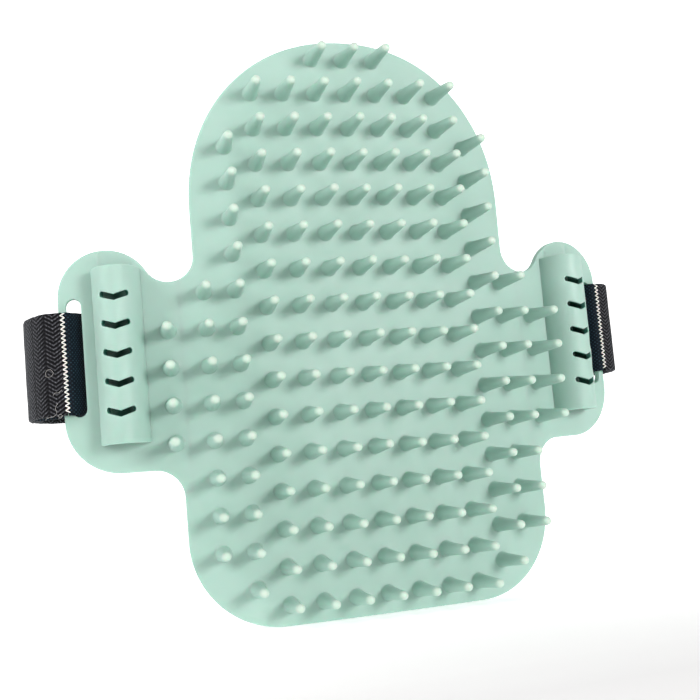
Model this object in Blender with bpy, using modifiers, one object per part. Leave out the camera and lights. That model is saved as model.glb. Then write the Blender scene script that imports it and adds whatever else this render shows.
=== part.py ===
"""Pet grooming glove: a silicone palm pad with pins, two vented wings and a hand strap.

The palm sheet's back face touches the hand.  The origin is at the middle of that face.
+X is across the wings, +Y points to the hand, +Z points to the fingers, pins point to -Y.
The sheet is bent gently about a vertical axis behind it, with a flat strip down its middle.  It bends
more tightly just outside the palm, and the arches hold the outer parts of the wings flat.
"""
import math

import bmesh
import bpy
from mathutils import Matrix, Vector

# Driving dimensions, in metres.  u is the distance from the middle measured along the sheet's front face.
GAP = 0.0003                     # between solids that touch
ROW_PITCH = 0.010                # pins, row to row
COLUMN_PITCH = 0.00915           # pins, column to column
SHEET_THICKNESS = 0.002
FLAT_HALF_WIDTH = COLUMN_PITCH / 2   # half of the flat strip down the sheet's middle
BEND_RADIUS = 0.280              # front face, outside the flat strip
NECK_START_U = 0.0500            # the tighter bend between palm and arch
NECK_END_U = 0.0600
NECK_BEND_RADIUS = 0.110

# Pad outline, right half.  Neighbouring corners' arcs must not meet, or the outline would fold.
LOBE_HALF_WIDTH = 0.0465         # rounded top lobe, a superellipse
LOBE_HEIGHT = 0.0474
LOBE_Z = 0.033
LOBE_POWER = 2.12
WING_TOP_Z = 0.0231
WING_BOTTOM_Z = -0.0364
WING_EDGE_U = 0.0830
WING_TOP_RADIUS = 0.0126
WING_BOTTOM_RADIUS = 0.0146
UPPER_NECK_Z = 0.0134
UPPER_NECK_U = 0.0573            # where the neck's floor line meets the wing's rising edge
UPPER_NECK_RADIUS = 0.0068
WING_SHOULDER_U = 0.0630
LOWER_NECK_Z = -0.0368           # the wing's lower edge falls slightly towards the body
LOWER_NECK_RADIUS = 0.0076
BODY_HALF_WIDTH = 0.0531
BODY_BOTTOM_Z = -0.0805
BODY_CORNER_RADIUS = 0.0242

# Pins.
ROWS = 16
FULL_ROW_REACH = 3               # columns each side of the middle in a full row
TOP_ROW_REACH = 1                # the top row is shorter
PIN_HEIGHT = 0.0125
PIN_BASE_RADIUS = 0.0022
PIN_TIP_RADIUS = 0.0012
PIN_TIP_ROUND = 0.0009
PIN_TIP_SHARE = 0.5              # the flat end of a tip, as a share of its radius
PIN_SIDES = 6
# Outer pins stand on the half rows: u of the column, first and last half row.
INNER_OUTER_COLUMN = (0.03585, 3.5, 15.5)
MIDDLE_OUTER_COLUMN = (0.0443, 7.5, 14.5)
WING_COLUMN = (0.0544, 8.5, 11.5)

# Wings: flex line, strap slot, vent arch.
FLEX_U = 0.0515
FLEX_LOW_Z = -0.043
SLOT_INNER_U = 0.0770
SLOT_WIDTH = 0.0040
SLOT_TOP_Z = 0.0105
SLOT_BOTTOM_Z = -0.0210
ARCH_U = 0.0673
ARCH_HALF_WIDTH = 0.0065
ARCH_HEIGHT = 0.0090
ARCH_WALL = 0.0017
ARCH_TOP_Z = 0.0175
ARCH_BOTTOM_Z = -0.0291
CHEVRONS = 5
CHEVRON_TOP_Z = 0.00885         # apex of the highest
CHEVRON_PITCH = 0.00757
CHEVRON_HALF_WIDTH = 0.0036
CHEVRON_STROKE = 0.0013
CHEVRON_DROP = 0.0011
CHEVRON_CUT_DEPTH = 0.0035       # the cutters stop this far above the sheet
CUTTER_OVERLAP = 0.002           # how far cutters reach past what they cut

# Strap.
STRAP_WIDTH = 0.0274
STRAP_THICKNESS = 0.0012
RING_RADIUS = 0.0025             # strap's middle line round the slot's rim
LEFT_STRAP_Z = -0.0068           # the two halves sit at unequal heights in their slots
RIGHT_STRAP_Z = -0.00385
CLOSURE_Z = -0.0057
SEAM_ANGLE = math.radians(97)    # on the rim's front, where tape and webbing meet
LEAVE_ANGLE = math.radians(88)   # where the webbing leaves the rim
LEAVE_RUN = 0.0015               # straight webbing beyond the rim
TURN_RADIUS = 0.007              # the webbing's turn towards the hand
TURN_HEADING = math.radians(64)  # and its plan heading after that turn
BULGE_RADIUS = 0.024
SHOULDER_RADIUS = 0.0180
TAPE_LEAVE_ANGLE = math.radians(150)
TAPE_RUN = 0.0045                # straight tape through the slot
TAPE_TURN_RADIUS = 0.0035
TAPE_TURN = math.radians(105)
TAPE_CURVE_REACH = 0.4           # handle length of the tape's free curve, as a share of its chord
SEW_ANGLE = math.radians(15)     # where the tape's end is sewn to the webbing, past the widest point
SEW_HALF_ANGLE = math.radians(8)
LEVEL_SHARE = 0.80               # the strap runs level inside this share of its shoulders' distance
PATCH_THICKNESS = 0.0008
LEFT_BAND_END_X = 0.034
TAIL_HINGE_X = 0.024
TAIL_END_X = -0.034
PATCH_HALF_LENGTH = 0.018
PATCH_WIDTH = 0.024
HOOK_PATCH_X = -0.009
LOOP_PATCH_X = 0.006
THREAD_RADIUS = 0.00025
SEAM_STITCHES = 22
SEAM_HALF_WIDTH = 0.0006         # the zigzag's reach each side of the seam line
SEAM_MARGIN = 0.001              # from the seam's ends to the strap's edges
PATCH_SEAM_INSET = 0.0015
PATCH_SEAM_OPENING = 0.1         # the seam stops short of its own start, as a share of half its height

# How finely curves are divided.
LOBE_STEPS = 14
CORNER_STEPS = 7
SLOT_END_STEPS = 6
ARCH_OUTER_STEPS = 13
ARCH_INNER_STEPS = 11
LEAVE_RING_STEPS = 2
LEAVE_TURN_STEPS = 5
BULGE_STEPS = 9
SHOULDER_STEPS = 7
TAPE_RING_STEPS = 5
TAPE_TURN_STEPS = 7
TAPE_CURVE_STEPS = 6
SEWN_STEPS = 4
SMOOTH_ANGLE = math.radians(50)  # edges sharper than this stay sharp
FLAT_ANGLE = math.radians(0.1)   # faces that meet flatter than this become one
MERGE_DISTANCE = 0.000001
SLICE_DISTANCE = 0.0000001

LEFT = -1
RIGHT = 1
SIDE_NAMES = {LEFT: "left", RIGHT: "right"}
STRAP_Z = {LEFT: LEFT_STRAP_Z, RIGHT: RIGHT_STRAP_Z}


# ---- scene and materials -------------------------------------------------------------------------------

def clear_scene():
    for old in list(bpy.data.objects):
        bpy.data.objects.remove(old, do_unlink=True)


def make_collection(name):
    collection = bpy.data.collections.new(name)
    bpy.context.scene.collection.children.link(collection)
    return collection


def make_material(name, colour, roughness):
    material = bpy.data.materials.new(name)
    material.use_nodes = True
    shader = material.node_tree.nodes["Principled BSDF"]
    shader.inputs["Base Color"].default_value = (*colour, 1.0)
    shader.inputs["Roughness"].default_value = roughness
    shader.inputs["Metallic"].default_value = 0.0
    material.diffuse_color = (*colour, 1.0)
    return material


clear_scene()
PARTS = make_collection("pet_grooming_glove")
CUTTERS = make_collection("cutters")
MINT = make_material("mint_silicone", (0.42, 0.64, 0.54), 0.55)
WEBBING = make_material("ribbed_webbing", (0.035, 0.038, 0.042), 0.85)
TAPE = make_material("slot_tape", (0.012, 0.018, 0.024), 0.75)
HOOKS = make_material("hook_tape", (0.015, 0.016, 0.018), 0.6)
LOOPS = make_material("loop_tape", (0.022, 0.023, 0.026), 0.95)
THREAD = make_material("white_thread", (0.75, 0.75, 0.72), 0.8)


def add_object(name, bm, material, collection=PARTS, smooth=False):
    mesh = bpy.data.meshes.new(name)
    bmesh.ops.recalc_face_normals(bm, faces=bm.faces)
    bm.to_mesh(mesh)
    bm.free()
    if material:
        mesh.materials.append(material)
    if smooth:
        mesh.shade_smooth()
        mesh.set_sharp_from_angle(angle=SMOOTH_ANGLE)
    made = bpy.data.objects.new(name, mesh)
    collection.objects.link(made)
    return made


def as_cutter(made):
    made.hide_render = True
    made.display_type = "WIRE"
    return made


def evaluated_bmesh(made):
    """The object's mesh with its modifiers, as a bmesh; the object itself is removed."""
    graph = bpy.context.evaluated_depsgraph_get()
    mesh = bpy.data.meshes.new_from_object(made.evaluated_get(graph), depsgraph=graph)
    bm = bmesh.new()
    bm.from_mesh(mesh)
    bpy.data.meshes.remove(mesh)
    bpy.data.objects.remove(made, do_unlink=True)
    bmesh.ops.remove_doubles(bm, verts=bm.verts, dist=MERGE_DISTANCE)
    return bm


def cut(made, cutter, operation="DIFFERENCE"):
    modifier = made.modifiers.new(operation.lower(), "BOOLEAN")
    modifier.operation = operation
    modifier.solver = "EXACT"
    modifier.object = cutter


# ---- the bent sheet ------------------------------------------------------------------------------------

def face_line(u):
    """Plan place and angle of the front face at a distance u to the right of the middle."""
    bends = ((FLAT_HALF_WIDTH, None), (NECK_START_U, BEND_RADIUS), (NECK_END_U, NECK_BEND_RADIUS), (u, None))
    x = y = angle = done = 0.0
    for end, radius in bends:
        length = min(u, end) - done
        if length <= 0.0:
            continue
        if radius:
            turned = angle + length / radius
            x += radius * (math.sin(turned) - math.sin(angle))
            y += radius * (math.cos(angle) - math.cos(turned))
            angle = turned
        else:
            x += length * math.cos(angle)
            y += length * math.sin(angle)
        done = end
    return x, y, angle


def bend_angle(u):
    return math.copysign(face_line(abs(u))[2], u)


def bent(u, z, height):
    """A point at height above the sheet's front face; height -SHEET_THICKNESS is its back face."""
    x, y, angle = face_line(abs(u))
    x += height * math.sin(angle)
    return Vector((math.copysign(x, u), y - SHEET_THICKNESS - height * math.cos(angle), z))


def on_sheet(u, z, height=0.0):
    """Frame on the sheet: local X along it, local Y into it, local Z up."""
    return Matrix.Translation(bent(u, z, height)) @ Matrix.Rotation(bend_angle(u), 4, "Z")


# ---- outlines ------------------------------------------------------------------------------------------

def arc(centre, radius, start, end, steps):
    points = []
    for step in range(steps + 1):
        angle = start + (end - start) * step / steps
        points.append(Vector((centre[0] + radius * math.cos(angle), centre[1] + radius * math.sin(angle))))
    return points


def rounded_corner(before, corner, after, radius):
    """Points of the arc that rounds a corner of a polygon."""
    to_before = (before - corner).normalized()
    to_after = (after - corner).normalized()
    half = to_before.angle(to_after) / 2
    centre = corner + (to_before + to_after).normalized() * (radius / math.sin(half))
    first = corner + to_before * (radius / math.tan(half)) - centre
    last = corner + to_after * (radius / math.tan(half)) - centre
    start = math.atan2(first.y, first.x)
    turn = math.atan2(first.x * last.y - first.y * last.x, first.dot(last))
    return arc(centre, radius, start, start + turn, CORNER_STEPS)


def half_outline():
    """Right half of the pad in the (u, z) plane, from the top of the lobe to the bottom edge."""
    points = []
    for step in range(LOBE_STEPS + 1):
        angle = math.pi / 2 * (1 - step / LOBE_STEPS)
        u = LOBE_HALF_WIDTH * abs(math.cos(angle)) ** (2 / LOBE_POWER)
        z = LOBE_Z + LOBE_HEIGHT * abs(math.sin(angle)) ** (2 / LOBE_POWER)
        points.append(Vector((u, z)))
    points[0].x = 0.0
    corners = [(Vector((LOBE_HALF_WIDTH, LOBE_Z)), 0.0),
               (Vector((LOBE_HALF_WIDTH, UPPER_NECK_Z)), UPPER_NECK_RADIUS),
               (Vector((UPPER_NECK_U, UPPER_NECK_Z)), UPPER_NECK_RADIUS),
               (Vector((WING_SHOULDER_U, WING_TOP_Z)), WING_TOP_RADIUS),
               (Vector((WING_EDGE_U, WING_TOP_Z)), WING_TOP_RADIUS),
               (Vector((WING_EDGE_U, WING_BOTTOM_Z)), WING_BOTTOM_RADIUS),
               (Vector((BODY_HALF_WIDTH, LOWER_NECK_Z)), LOWER_NECK_RADIUS),
               (Vector((BODY_HALF_WIDTH, BODY_BOTTOM_Z)), BODY_CORNER_RADIUS),
               (Vector((0.0, BODY_BOTTOM_Z)), 0.0)]
    for (before, _), (corner, radius), (after, _) in zip(corners, corners[1:], corners[2:]):
        points += rounded_corner(before, corner, after, radius)
    points.append(corners[-1][0])
    return points


def slot_outline(side):
    radius = SLOT_WIDTH / 2
    middle = SLOT_INNER_U + radius
    top = arc((middle, SLOT_TOP_Z - radius), radius, 0.0, math.pi, SLOT_END_STEPS)
    bottom = arc((middle, SLOT_BOTTOM_Z + radius), radius, math.pi, 2 * math.pi, SLOT_END_STEPS)
    return [Vector((side * point.x, point.y)) for point in top + bottom]


def arch_outline():
    """Cross-section of a vent arch: x along the sheet, y its height above the sheet."""
    outer = arc((0.0, 0.0), 1.0, 0.0, math.pi, ARCH_OUTER_STEPS)
    inner = arc((0.0, 0.0), 1.0, math.pi, 0.0, ARCH_INNER_STEPS)
    inside_half_width = ARCH_HALF_WIDTH - ARCH_WALL
    inside_height = ARCH_HEIGHT - ARCH_WALL
    points = [Vector((p.x * ARCH_HALF_WIDTH, p.y * ARCH_HEIGHT)) for p in outer]
    points += [Vector((p.x * inside_half_width, p.y * inside_height)) for p in inner]
    return points


def chevron_outline(middle_z):
    """A V that points down."""
    rise = CHEVRON_DROP
    half_stroke = CHEVRON_STROKE / 2
    upper = [(-CHEVRON_HALF_WIDTH, rise), (0.0, 0.0), (CHEVRON_HALF_WIDTH, rise)]
    points = [Vector((x, middle_z + z + half_stroke)) for x, z in upper]
    points += [Vector((x, middle_z + z - half_stroke)) for x, z in reversed(upper)]
    return points


def plate(name, outline, low, high, collection=CUTTERS):
    """A flat outline extruded along Y from low to high; outline points are (x, z)."""
    curve = bpy.data.curves.new(name, "CURVE")
    curve.dimensions = "2D"
    curve.fill_mode = "BOTH"
    curve.extrude = (high - low) / 2
    spline = curve.splines.new("POLY")
    spline.points.add(len(outline) - 1)
    for point, place in zip(spline.points, outline):
        point.co = (place.x, place.y, 0.0, 1.0)
    spline.use_cyclic_u = True
    made = bpy.data.objects.new(name, curve)
    made.matrix_world = (Matrix.Translation((0.0, (low + high) / 2, 0.0))
                         @ Matrix.Rotation(math.pi / 2, 4, "X"))
    collection.objects.link(made)
    bpy.context.view_layer.update()
    matrix = made.matrix_world.copy()
    bm = evaluated_bmesh(made)
    bmesh.ops.transform(bm, matrix=matrix, verts=bm.verts)
    bmesh.ops.dissolve_limit(bm, angle_limit=FLAT_ANGLE, verts=bm.verts, edges=bm.edges)
    return add_object(name, bm, None, collection)


def box(name, low, high, collection=CUTTERS):
    bm = bmesh.new()
    size = [b - a for a, b in zip(low, high)]
    middle = [(a + b) / 2 for a, b in zip(low, high)]
    bmesh.ops.create_cube(bm, size=1.0, matrix=Matrix.Translation(middle) @ Matrix.Diagonal((*size, 1.0)))
    return add_object(name, bm, None, collection)


# ---- silicone moulding ---------------------------------------------------------------------------------

def wing_window(side, name, margin):
    """Box over one wing, grown by a margin past the flex line."""
    inner = side * (FLEX_U - margin)
    outer = side * (WING_EDGE_U + CUTTER_OVERLAP)
    low = (min(inner, outer), -CUTTER_OVERLAP, FLEX_LOW_Z - margin)
    high = (max(inner, outer), SHEET_THICKNESS + CUTTER_OVERLAP, WING_TOP_Z + CUTTER_OVERLAP)
    return as_cutter(box(name, low, high))


def flat_pad(name):
    """The whole pad, flat, with its front face at y = 0."""
    half = half_outline()
    other = [Vector((-point.x, point.y)) for point in reversed(half[1:-1])]
    return plate(name, half + other, 0.0, SHEET_THICKNESS, PARTS)


def slice_lines():
    """Vertical lines that the sheet is faceted along: halfway between pin columns, then on to its edge."""
    columns = [step * COLUMN_PITCH for step in range(FULL_ROW_REACH + 1)]
    columns += [INNER_OUTER_COLUMN[0], MIDDLE_OUTER_COLUMN[0], WING_COLUMN[0]]
    lines = [(a + b) / 2 for a, b in zip(columns, columns[1:])]
    while lines[-1] + COLUMN_PITCH < WING_EDGE_U:
        lines.append(lines[-1] + COLUMN_PITCH)
    return [-line for line in reversed(lines)] + lines


def finish_sheet(made, name):
    """Apply the flat plate's cuts and pins, slice it into vertical strips and bend it."""
    bm = evaluated_bmesh(made)
    for line in slice_lines():
        bmesh.ops.bisect_plane(bm, geom=bm.verts[:] + bm.edges[:] + bm.faces[:], dist=SLICE_DISTANCE,
                               plane_co=(line, 0, 0), plane_no=(1, 0, 0))
    for vert in bm.verts:
        vert.co = bent(vert.co.x, vert.co.z, -vert.co.y)
    bmesh.ops.triangulate(bm, faces=bm.faces)
    return add_object(name, bm, MINT)


def make_palm_pad():
    pad = flat_pad("palm_pad_flat")
    for side in (LEFT, RIGHT):
        cut(pad, wing_window(side, f"{SIDE_NAMES[side]}_wing_gap", GAP / 2))
    cut(pad, make_pins("palm_pins", palm_pin_places()), "UNION")
    finish_sheet(pad, "palm_pad")


def make_wing(side):
    name = SIDE_NAMES[side]
    pad = flat_pad(f"{name}_wing_flat")
    cut(pad, wing_window(side, f"{name}_wing_keep", -GAP / 2), "INTERSECT")
    cut(pad, as_cutter(plate(f"{name}_slot_cutter", slot_outline(side), -CUTTER_OVERLAP,
                        SHEET_THICKNESS + CUTTER_OVERLAP)))
    cut(pad, make_pins(f"{name}_wing_pins", column_places(side, WING_COLUMN)), "UNION")
    finish_sheet(pad, f"{name}_wing")


def make_vent_arch(side):
    name = SIDE_NAMES[side]
    bm = bmesh.new()
    outline = [bm.verts.new((point.x, -point.y - GAP, ARCH_BOTTOM_Z)) for point in arch_outline()]
    face = bm.faces.new(outline)
    grown = bmesh.ops.extrude_face_region(bm, geom=[face])
    top = [item for item in grown["geom"] if isinstance(item, bmesh.types.BMVert)]
    bmesh.ops.translate(bm, verts=top, vec=(0, 0, ARCH_TOP_Z - ARCH_BOTTOM_Z))
    arch = add_object(f"{name}_arch_uncut", bm, None)
    for index in range(CHEVRONS):
        middle = CHEVRON_TOP_Z - index * CHEVRON_PITCH
        cut(arch, as_cutter(plate(f"{name}_chevron_{index + 1}", chevron_outline(middle),
                                  -ARCH_HEIGHT - CUTTER_OVERLAP, -CHEVRON_CUT_DEPTH)))
    arch = add_object(f"{name}_vent_arch", evaluated_bmesh(arch), MINT, smooth=True)
    arch.matrix_world = on_sheet(side * ARCH_U, 0.0)


def add_pin(bm, u, z):
    """A tapered pin with a rounded tip, square to the flat sheet and rooted in its thickness."""
    root = SHEET_THICKNESS / 2
    body = PIN_HEIGHT - PIN_TIP_ROUND + root
    middle = Matrix.Translation((u, root - body / 2, z)) @ Matrix.Rotation(math.pi / 2, 4, "X")
    made = bmesh.ops.create_cone(bm, cap_ends=True, segments=PIN_SIDES, radius1=PIN_BASE_RADIUS,
                                 radius2=PIN_TIP_RADIUS, depth=body, matrix=middle)
    faces = {face for vert in made["verts"] for face in vert.link_faces if len(face.verts) == PIN_SIDES}
    tip = min(faces, key=lambda face: face.calc_center_median().y)
    centre = tip.calc_center_median()
    grown = bmesh.ops.extrude_face_region(bm, geom=[tip])
    bmesh.ops.delete(bm, geom=[tip], context="FACES_ONLY")
    for item in grown["geom"]:
        if isinstance(item, bmesh.types.BMVert):
            item.co = centre + (item.co - centre) * PIN_TIP_SHARE + Vector((0.0, -PIN_TIP_ROUND, 0.0))


def row_z(row):
    return (0.5 + ROWS / 2 - row) * ROW_PITCH


def make_pins(name, places):
    """All the pins of one sheet, as the body that its Boolean union adds."""
    bm = bmesh.new()
    for u, z in places:
        add_pin(bm, u, z)
    return as_cutter(add_object(name, bm, MINT, CUTTERS))


def column_places(side, column):
    u, first, last = column
    return [(side * u, row_z(first + step)) for step in range(int(last - first) + 1)]


def palm_pin_places():
    places = []
    for row in range(1, ROWS + 1):
        reach = TOP_ROW_REACH if row == 1 else FULL_ROW_REACH
        places += [(column * COLUMN_PITCH, row_z(row)) for column in range(-reach, reach + 1)]
    for side in (LEFT, RIGHT):
        places += column_places(side, INNER_OUTER_COLUMN) + column_places(side, MIDDLE_OUTER_COLUMN)
    return places


# ---- strap ---------------------------------------------------------------------------------------------
# Strap paths are worked out in plan view (x, y) for the right side and mirrored for the left.

def rim_middle():
    middle = (SLOT_INNER_U + SLOT_WIDTH + WING_EDGE_U) / 2
    place = bent(middle, 0.0, -SHEET_THICKNESS / 2)
    return Vector((place.x, place.y)), bend_angle(middle)


def rim_point(angle, radius):
    """Point on the ring round the rim; angle 0 is outward, 90 degrees is the front crest."""
    middle, tilt = rim_middle()
    plan = tilt - angle
    return middle + radius * Vector((math.cos(plan), math.sin(plan)))


def ring_path(start, end, steps):
    return [rim_point(start + (end - start) * step / steps, RING_RADIUS) for step in range(steps + 1)]


def heading_vector(heading):
    return Vector((math.cos(heading), math.sin(heading)))


def turn_left(start, heading, radius, end_heading, steps):
    """Arc from a start point and heading, turning left until the end heading."""
    centre = start + radius * Vector((-math.sin(heading), math.cos(heading)))
    return arc(centre, radius, heading - math.pi / 2, end_heading - math.pi / 2, steps)


def leave_path():
    """Webbing from the rim to the start of its wide bulge."""
    _, tilt = rim_middle()
    heading = tilt + math.pi / 2 - LEAVE_ANGLE
    start = rim_point(LEAVE_ANGLE, RING_RADIUS) + LEAVE_RUN * heading_vector(heading)
    return turn_left(start, heading, TURN_RADIUS, TURN_HEADING, LEAVE_TURN_STEPS)


def bulge_middle():
    """Centre of the webbing's wide bend beside the hand."""
    return leave_path()[-1] + BULGE_RADIUS * Vector((-math.sin(TURN_HEADING), math.cos(TURN_HEADING)))


def shoulder_middle():
    """Centre of the bend over the side of the hand, which starts where the tape's sewn end stops."""
    return bulge_middle() + (BULGE_RADIUS - SHOULDER_RADIUS) * heading_vector(SEW_ANGLE + SEW_HALF_ANGLE)


def closure_y():
    """Plan height of the webbing's middle line across the back of the hand."""
    return shoulder_middle().y + SHOULDER_RADIUS


def band_path(end_x, offset):
    """Webbing from the rim seam to end_x; offset moves its run across the hand outward (+Y)."""
    points = ring_path(SEAM_ANGLE - GAP / RING_RADIUS / 2, LEAVE_ANGLE, LEAVE_RING_STEPS)
    points += leave_path()
    sewn_end = SEW_ANGLE + SEW_HALF_ANGLE
    points += arc(bulge_middle(), BULGE_RADIUS, TURN_HEADING - math.pi / 2, sewn_end, BULGE_STEPS)[1:]
    points += arc(shoulder_middle(), SHOULDER_RADIUS, sewn_end, math.pi / 2, SHOULDER_STEPS)[1:]
    points.append(Vector((points[-1].x * LEVEL_SHARE, points[-1].y + offset)))
    points.append(Vector((end_x, points[-1].y)))
    return points


def tape_path():
    """Tape from the rim seam, through the slot, and along the webbing's inner face."""
    _, tilt = rim_middle()
    points = ring_path(SEAM_ANGLE + GAP / RING_RADIUS / 2, TAPE_LEAVE_ANGLE, TAPE_RING_STEPS)
    heading = tilt - TAPE_LEAVE_ANGLE - math.pi / 2
    through = points[-1] + TAPE_RUN * heading_vector(heading)
    middle = through + TAPE_TURN_RADIUS * Vector((math.sin(heading), -math.cos(heading)))
    turned = heading + math.pi / 2
    points += arc(middle, TAPE_TURN_RADIUS, turned, turned - TAPE_TURN, TAPE_TURN_STEPS)
    start = points[-1]
    heading -= TAPE_TURN
    first = SEW_ANGLE - SEW_HALF_ANGLE
    last = SEW_ANGLE + SEW_HALF_ANGLE
    run = arc(bulge_middle(), BULGE_RADIUS - STRAP_THICKNESS - 2 * GAP, first, last, SEWN_STEPS)
    end = run[0]
    reach = (end - start).length * TAPE_CURVE_REACH
    leaving = start + heading_vector(heading) * reach
    arriving = end - heading_vector(first + math.pi / 2) * reach
    for step in range(1, TAPE_CURVE_STEPS):
        t = step / TAPE_CURVE_STEPS
        points.append((1 - t) ** 3 * start + 3 * t * (1 - t) ** 2 * leaving
                      + 3 * t * t * (1 - t) * arriving + t ** 3 * end)
    return points + run


def strap_height(side, x):
    """Middle height of the strap: level at the rim, level across the hand, sloping between."""
    far = closure_slope_start()
    near = rim_middle()[0].x
    share = min(1.0, max(0.0, (abs(x) - far) / (near - far)))
    share = share * share * (3 - 2 * share)
    return CLOSURE_Z + (STRAP_Z[side] - CLOSURE_Z) * share


def closure_slope_start():
    return shoulder_middle().x * LEVEL_SHARE


def make_ribbon(name, path, side, material, thickness=STRAP_THICKNESS, width=STRAP_WIDTH):
    """A band standing on edge: the path extruded upward, then given its thickness."""
    bm = bmesh.new()
    low = []
    for point in path:
        z = strap_height(side, point.x if point.x > 0 else 0.0) - width / 2
        low.append(bm.verts.new((side * point.x, point.y, z)))
    edges = [bm.edges.new(pair) for pair in zip(low, low[1:])]
    grown = bmesh.ops.extrude_edge_only(bm, edges=edges)
    high = [item for item in grown["geom"] if isinstance(item, bmesh.types.BMVert)]
    bmesh.ops.translate(bm, verts=high, vec=(0, 0, width))
    made = add_object(name, bm, material, smooth=True)
    shell = made.modifiers.new("thickness", "SOLIDIFY")
    shell.thickness = thickness
    shell.offset = 0.0
    shell.use_even_offset = True
    return made


def make_thread(name, points):
    """One sewing thread along a path."""
    curve = bpy.data.curves.new(name, "CURVE")
    curve.dimensions = "3D"
    curve.bevel_depth = THREAD_RADIUS
    curve.bevel_resolution = 1
    curve.use_fill_caps = True
    spline = curve.splines.new("POLY")
    spline.points.add(len(points) - 1)
    for point, place in zip(spline.points, points):
        point.co = (*place, 1.0)
    made = bpy.data.objects.new(name, curve)
    PARTS.objects.link(made)
    bpy.context.view_layer.update()
    return add_object(name, evaluated_bmesh(made), THREAD, smooth=True)


def zigzag(side, plan_point):
    """Zigzag seam up the strap's width; plan_point gives the thread's plan place at a reach along it."""
    points = []
    middle = strap_height(side, plan_point(0.0).x)
    height = STRAP_WIDTH - 2 * SEAM_MARGIN
    for index in range(2 * SEAM_STITCHES + 1):
        reach = SEAM_HALF_WIDTH * (1 if index % 2 else -1)
        spot = plan_point(reach)
        z = middle + height * (index / (2 * SEAM_STITCHES) - 0.5)
        points.append(Vector((side * spot.x, spot.y, z)))
    return points


def make_strap_side(side):
    name = SIDE_NAMES[side]
    offset = 0.0 if side == LEFT else closure_stack()
    end = -LEFT_BAND_END_X if side == LEFT else TAIL_HINGE_X
    make_ribbon(f"{name}_strap_band", band_path(end, offset), side, WEBBING)
    make_ribbon(f"{name}_slot_tape", tape_path(), side, TAPE)
    lift = STRAP_THICKNESS / 2 + GAP + THREAD_RADIUS
    crest = RING_RADIUS + lift
    make_thread(f"{name}_rim_seam", zigzag(side, lambda reach: rim_point(SEAM_ANGLE + reach / crest, crest)))
    sewn = bulge_middle()
    rear = BULGE_RADIUS + lift
    make_thread(f"{name}_rear_seam",
                zigzag(side, lambda reach: sewn + rear * heading_vector(SEW_ANGLE + reach / rear)))


def closure_stack():
    """Distance between the middle lines of the inner and outer webbing, with both patches between."""
    return STRAP_THICKNESS + 2 * PATCH_THICKNESS + 3 * GAP


def make_tail():
    y = closure_y() + closure_stack()
    path = [Vector((TAIL_HINGE_X - GAP, y)), Vector((TAIL_END_X, y))]
    make_ribbon("strap_tail_band", path, RIGHT, WEBBING)


def make_patch(name, middle_x, y, material):
    low = (middle_x - PATCH_HALF_LENGTH, y - PATCH_THICKNESS / 2, CLOSURE_Z - PATCH_WIDTH / 2)
    high = (middle_x + PATCH_HALF_LENGTH, y + PATCH_THICKNESS / 2, CLOSURE_Z + PATCH_WIDTH / 2)
    patch = box(name, low, high, PARTS)
    patch.data.materials.append(material)


def patch_seam(middle_x, y):
    """Thread run round a patch, just inside its edge."""
    half_length = PATCH_HALF_LENGTH - PATCH_SEAM_INSET
    half_width = PATCH_WIDTH / 2 - PATCH_SEAM_INSET
    turns = [(-1, 0), (-1, 1), (1, 1), (1, -1), (-1, -1), (-1, -PATCH_SEAM_OPENING)]
    return [Vector((middle_x + a * half_length, y, CLOSURE_Z + b * half_width)) for a, b in turns]


def make_closure():
    inner = closure_y()
    outer = inner + closure_stack()
    step = (STRAP_THICKNESS + PATCH_THICKNESS) / 2 + GAP
    seam = STRAP_THICKNESS / 2 + GAP + THREAD_RADIUS
    make_patch("loop_patch", LOOP_PATCH_X, inner + step, LOOPS)
    make_patch("hook_patch", HOOK_PATCH_X, outer - step, HOOKS)
    make_thread("loop_patch_seam", patch_seam(LOOP_PATCH_X, inner - seam))
    make_thread("hook_patch_seam", patch_seam(HOOK_PATCH_X, outer + seam))


def place_origin(name, place):
    """Put a moving piece's origin on its joint's axis without moving the piece."""
    made = bpy.data.objects[name]
    made.data.transform(Matrix.Translation(-place))
    made.location = place


def move_origins():
    """Put each moving piece's origin on its joint, and print the joints' axes."""
    rim, _ = rim_middle()
    for side in (LEFT, RIGHT):
        name = SIDE_NAMES[side]
        flex = bent(side * FLEX_U, 0.0, -SHEET_THICKNESS)
        place_origin(f"{name}_wing", flex)
        for piece in ("strap_band", "slot_tape", "rim_seam", "rear_seam"):
            place_origin(f"{name}_{piece}", Vector((side * rim.x, rim.y, 0.0)))
    place_origin("loop_patch", Vector((-rim.x, rim.y, 0.0)))
    place_origin("loop_patch_seam", Vector((-rim.x, rim.y, 0.0)))
    peel = Vector((TAIL_HINGE_X - GAP / 2, closure_y() + closure_stack() + STRAP_THICKNESS / 2, 0.0))
    for piece in ("strap_tail_band", "hook_patch", "hook_patch_seam"):
        place_origin(piece, peel)
    print("flex axis", tuple(round(value, 5) for value in bent(FLEX_U, 0.0, -SHEET_THICKNESS)))
    print("rim axis", round(rim.x, 5), round(rim.y, 5))
    print("peel axis", tuple(round(value, 5) for value in peel))


make_palm_pad()
for wing_side in (LEFT, RIGHT):
    make_wing(wing_side)
    make_vent_arch(wing_side)
    make_strap_side(wing_side)
make_tail()
make_closure()
move_origins()
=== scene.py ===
import random
from math import atan2, ceil, copysign, cos, pi, radians, sin, tan

import bmesh
import bpy
from mathutils import Euler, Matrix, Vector, noise
from mathutils.geometry import delaunay_2d_cdt
from mathutils.kdtree import KDTree


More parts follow.
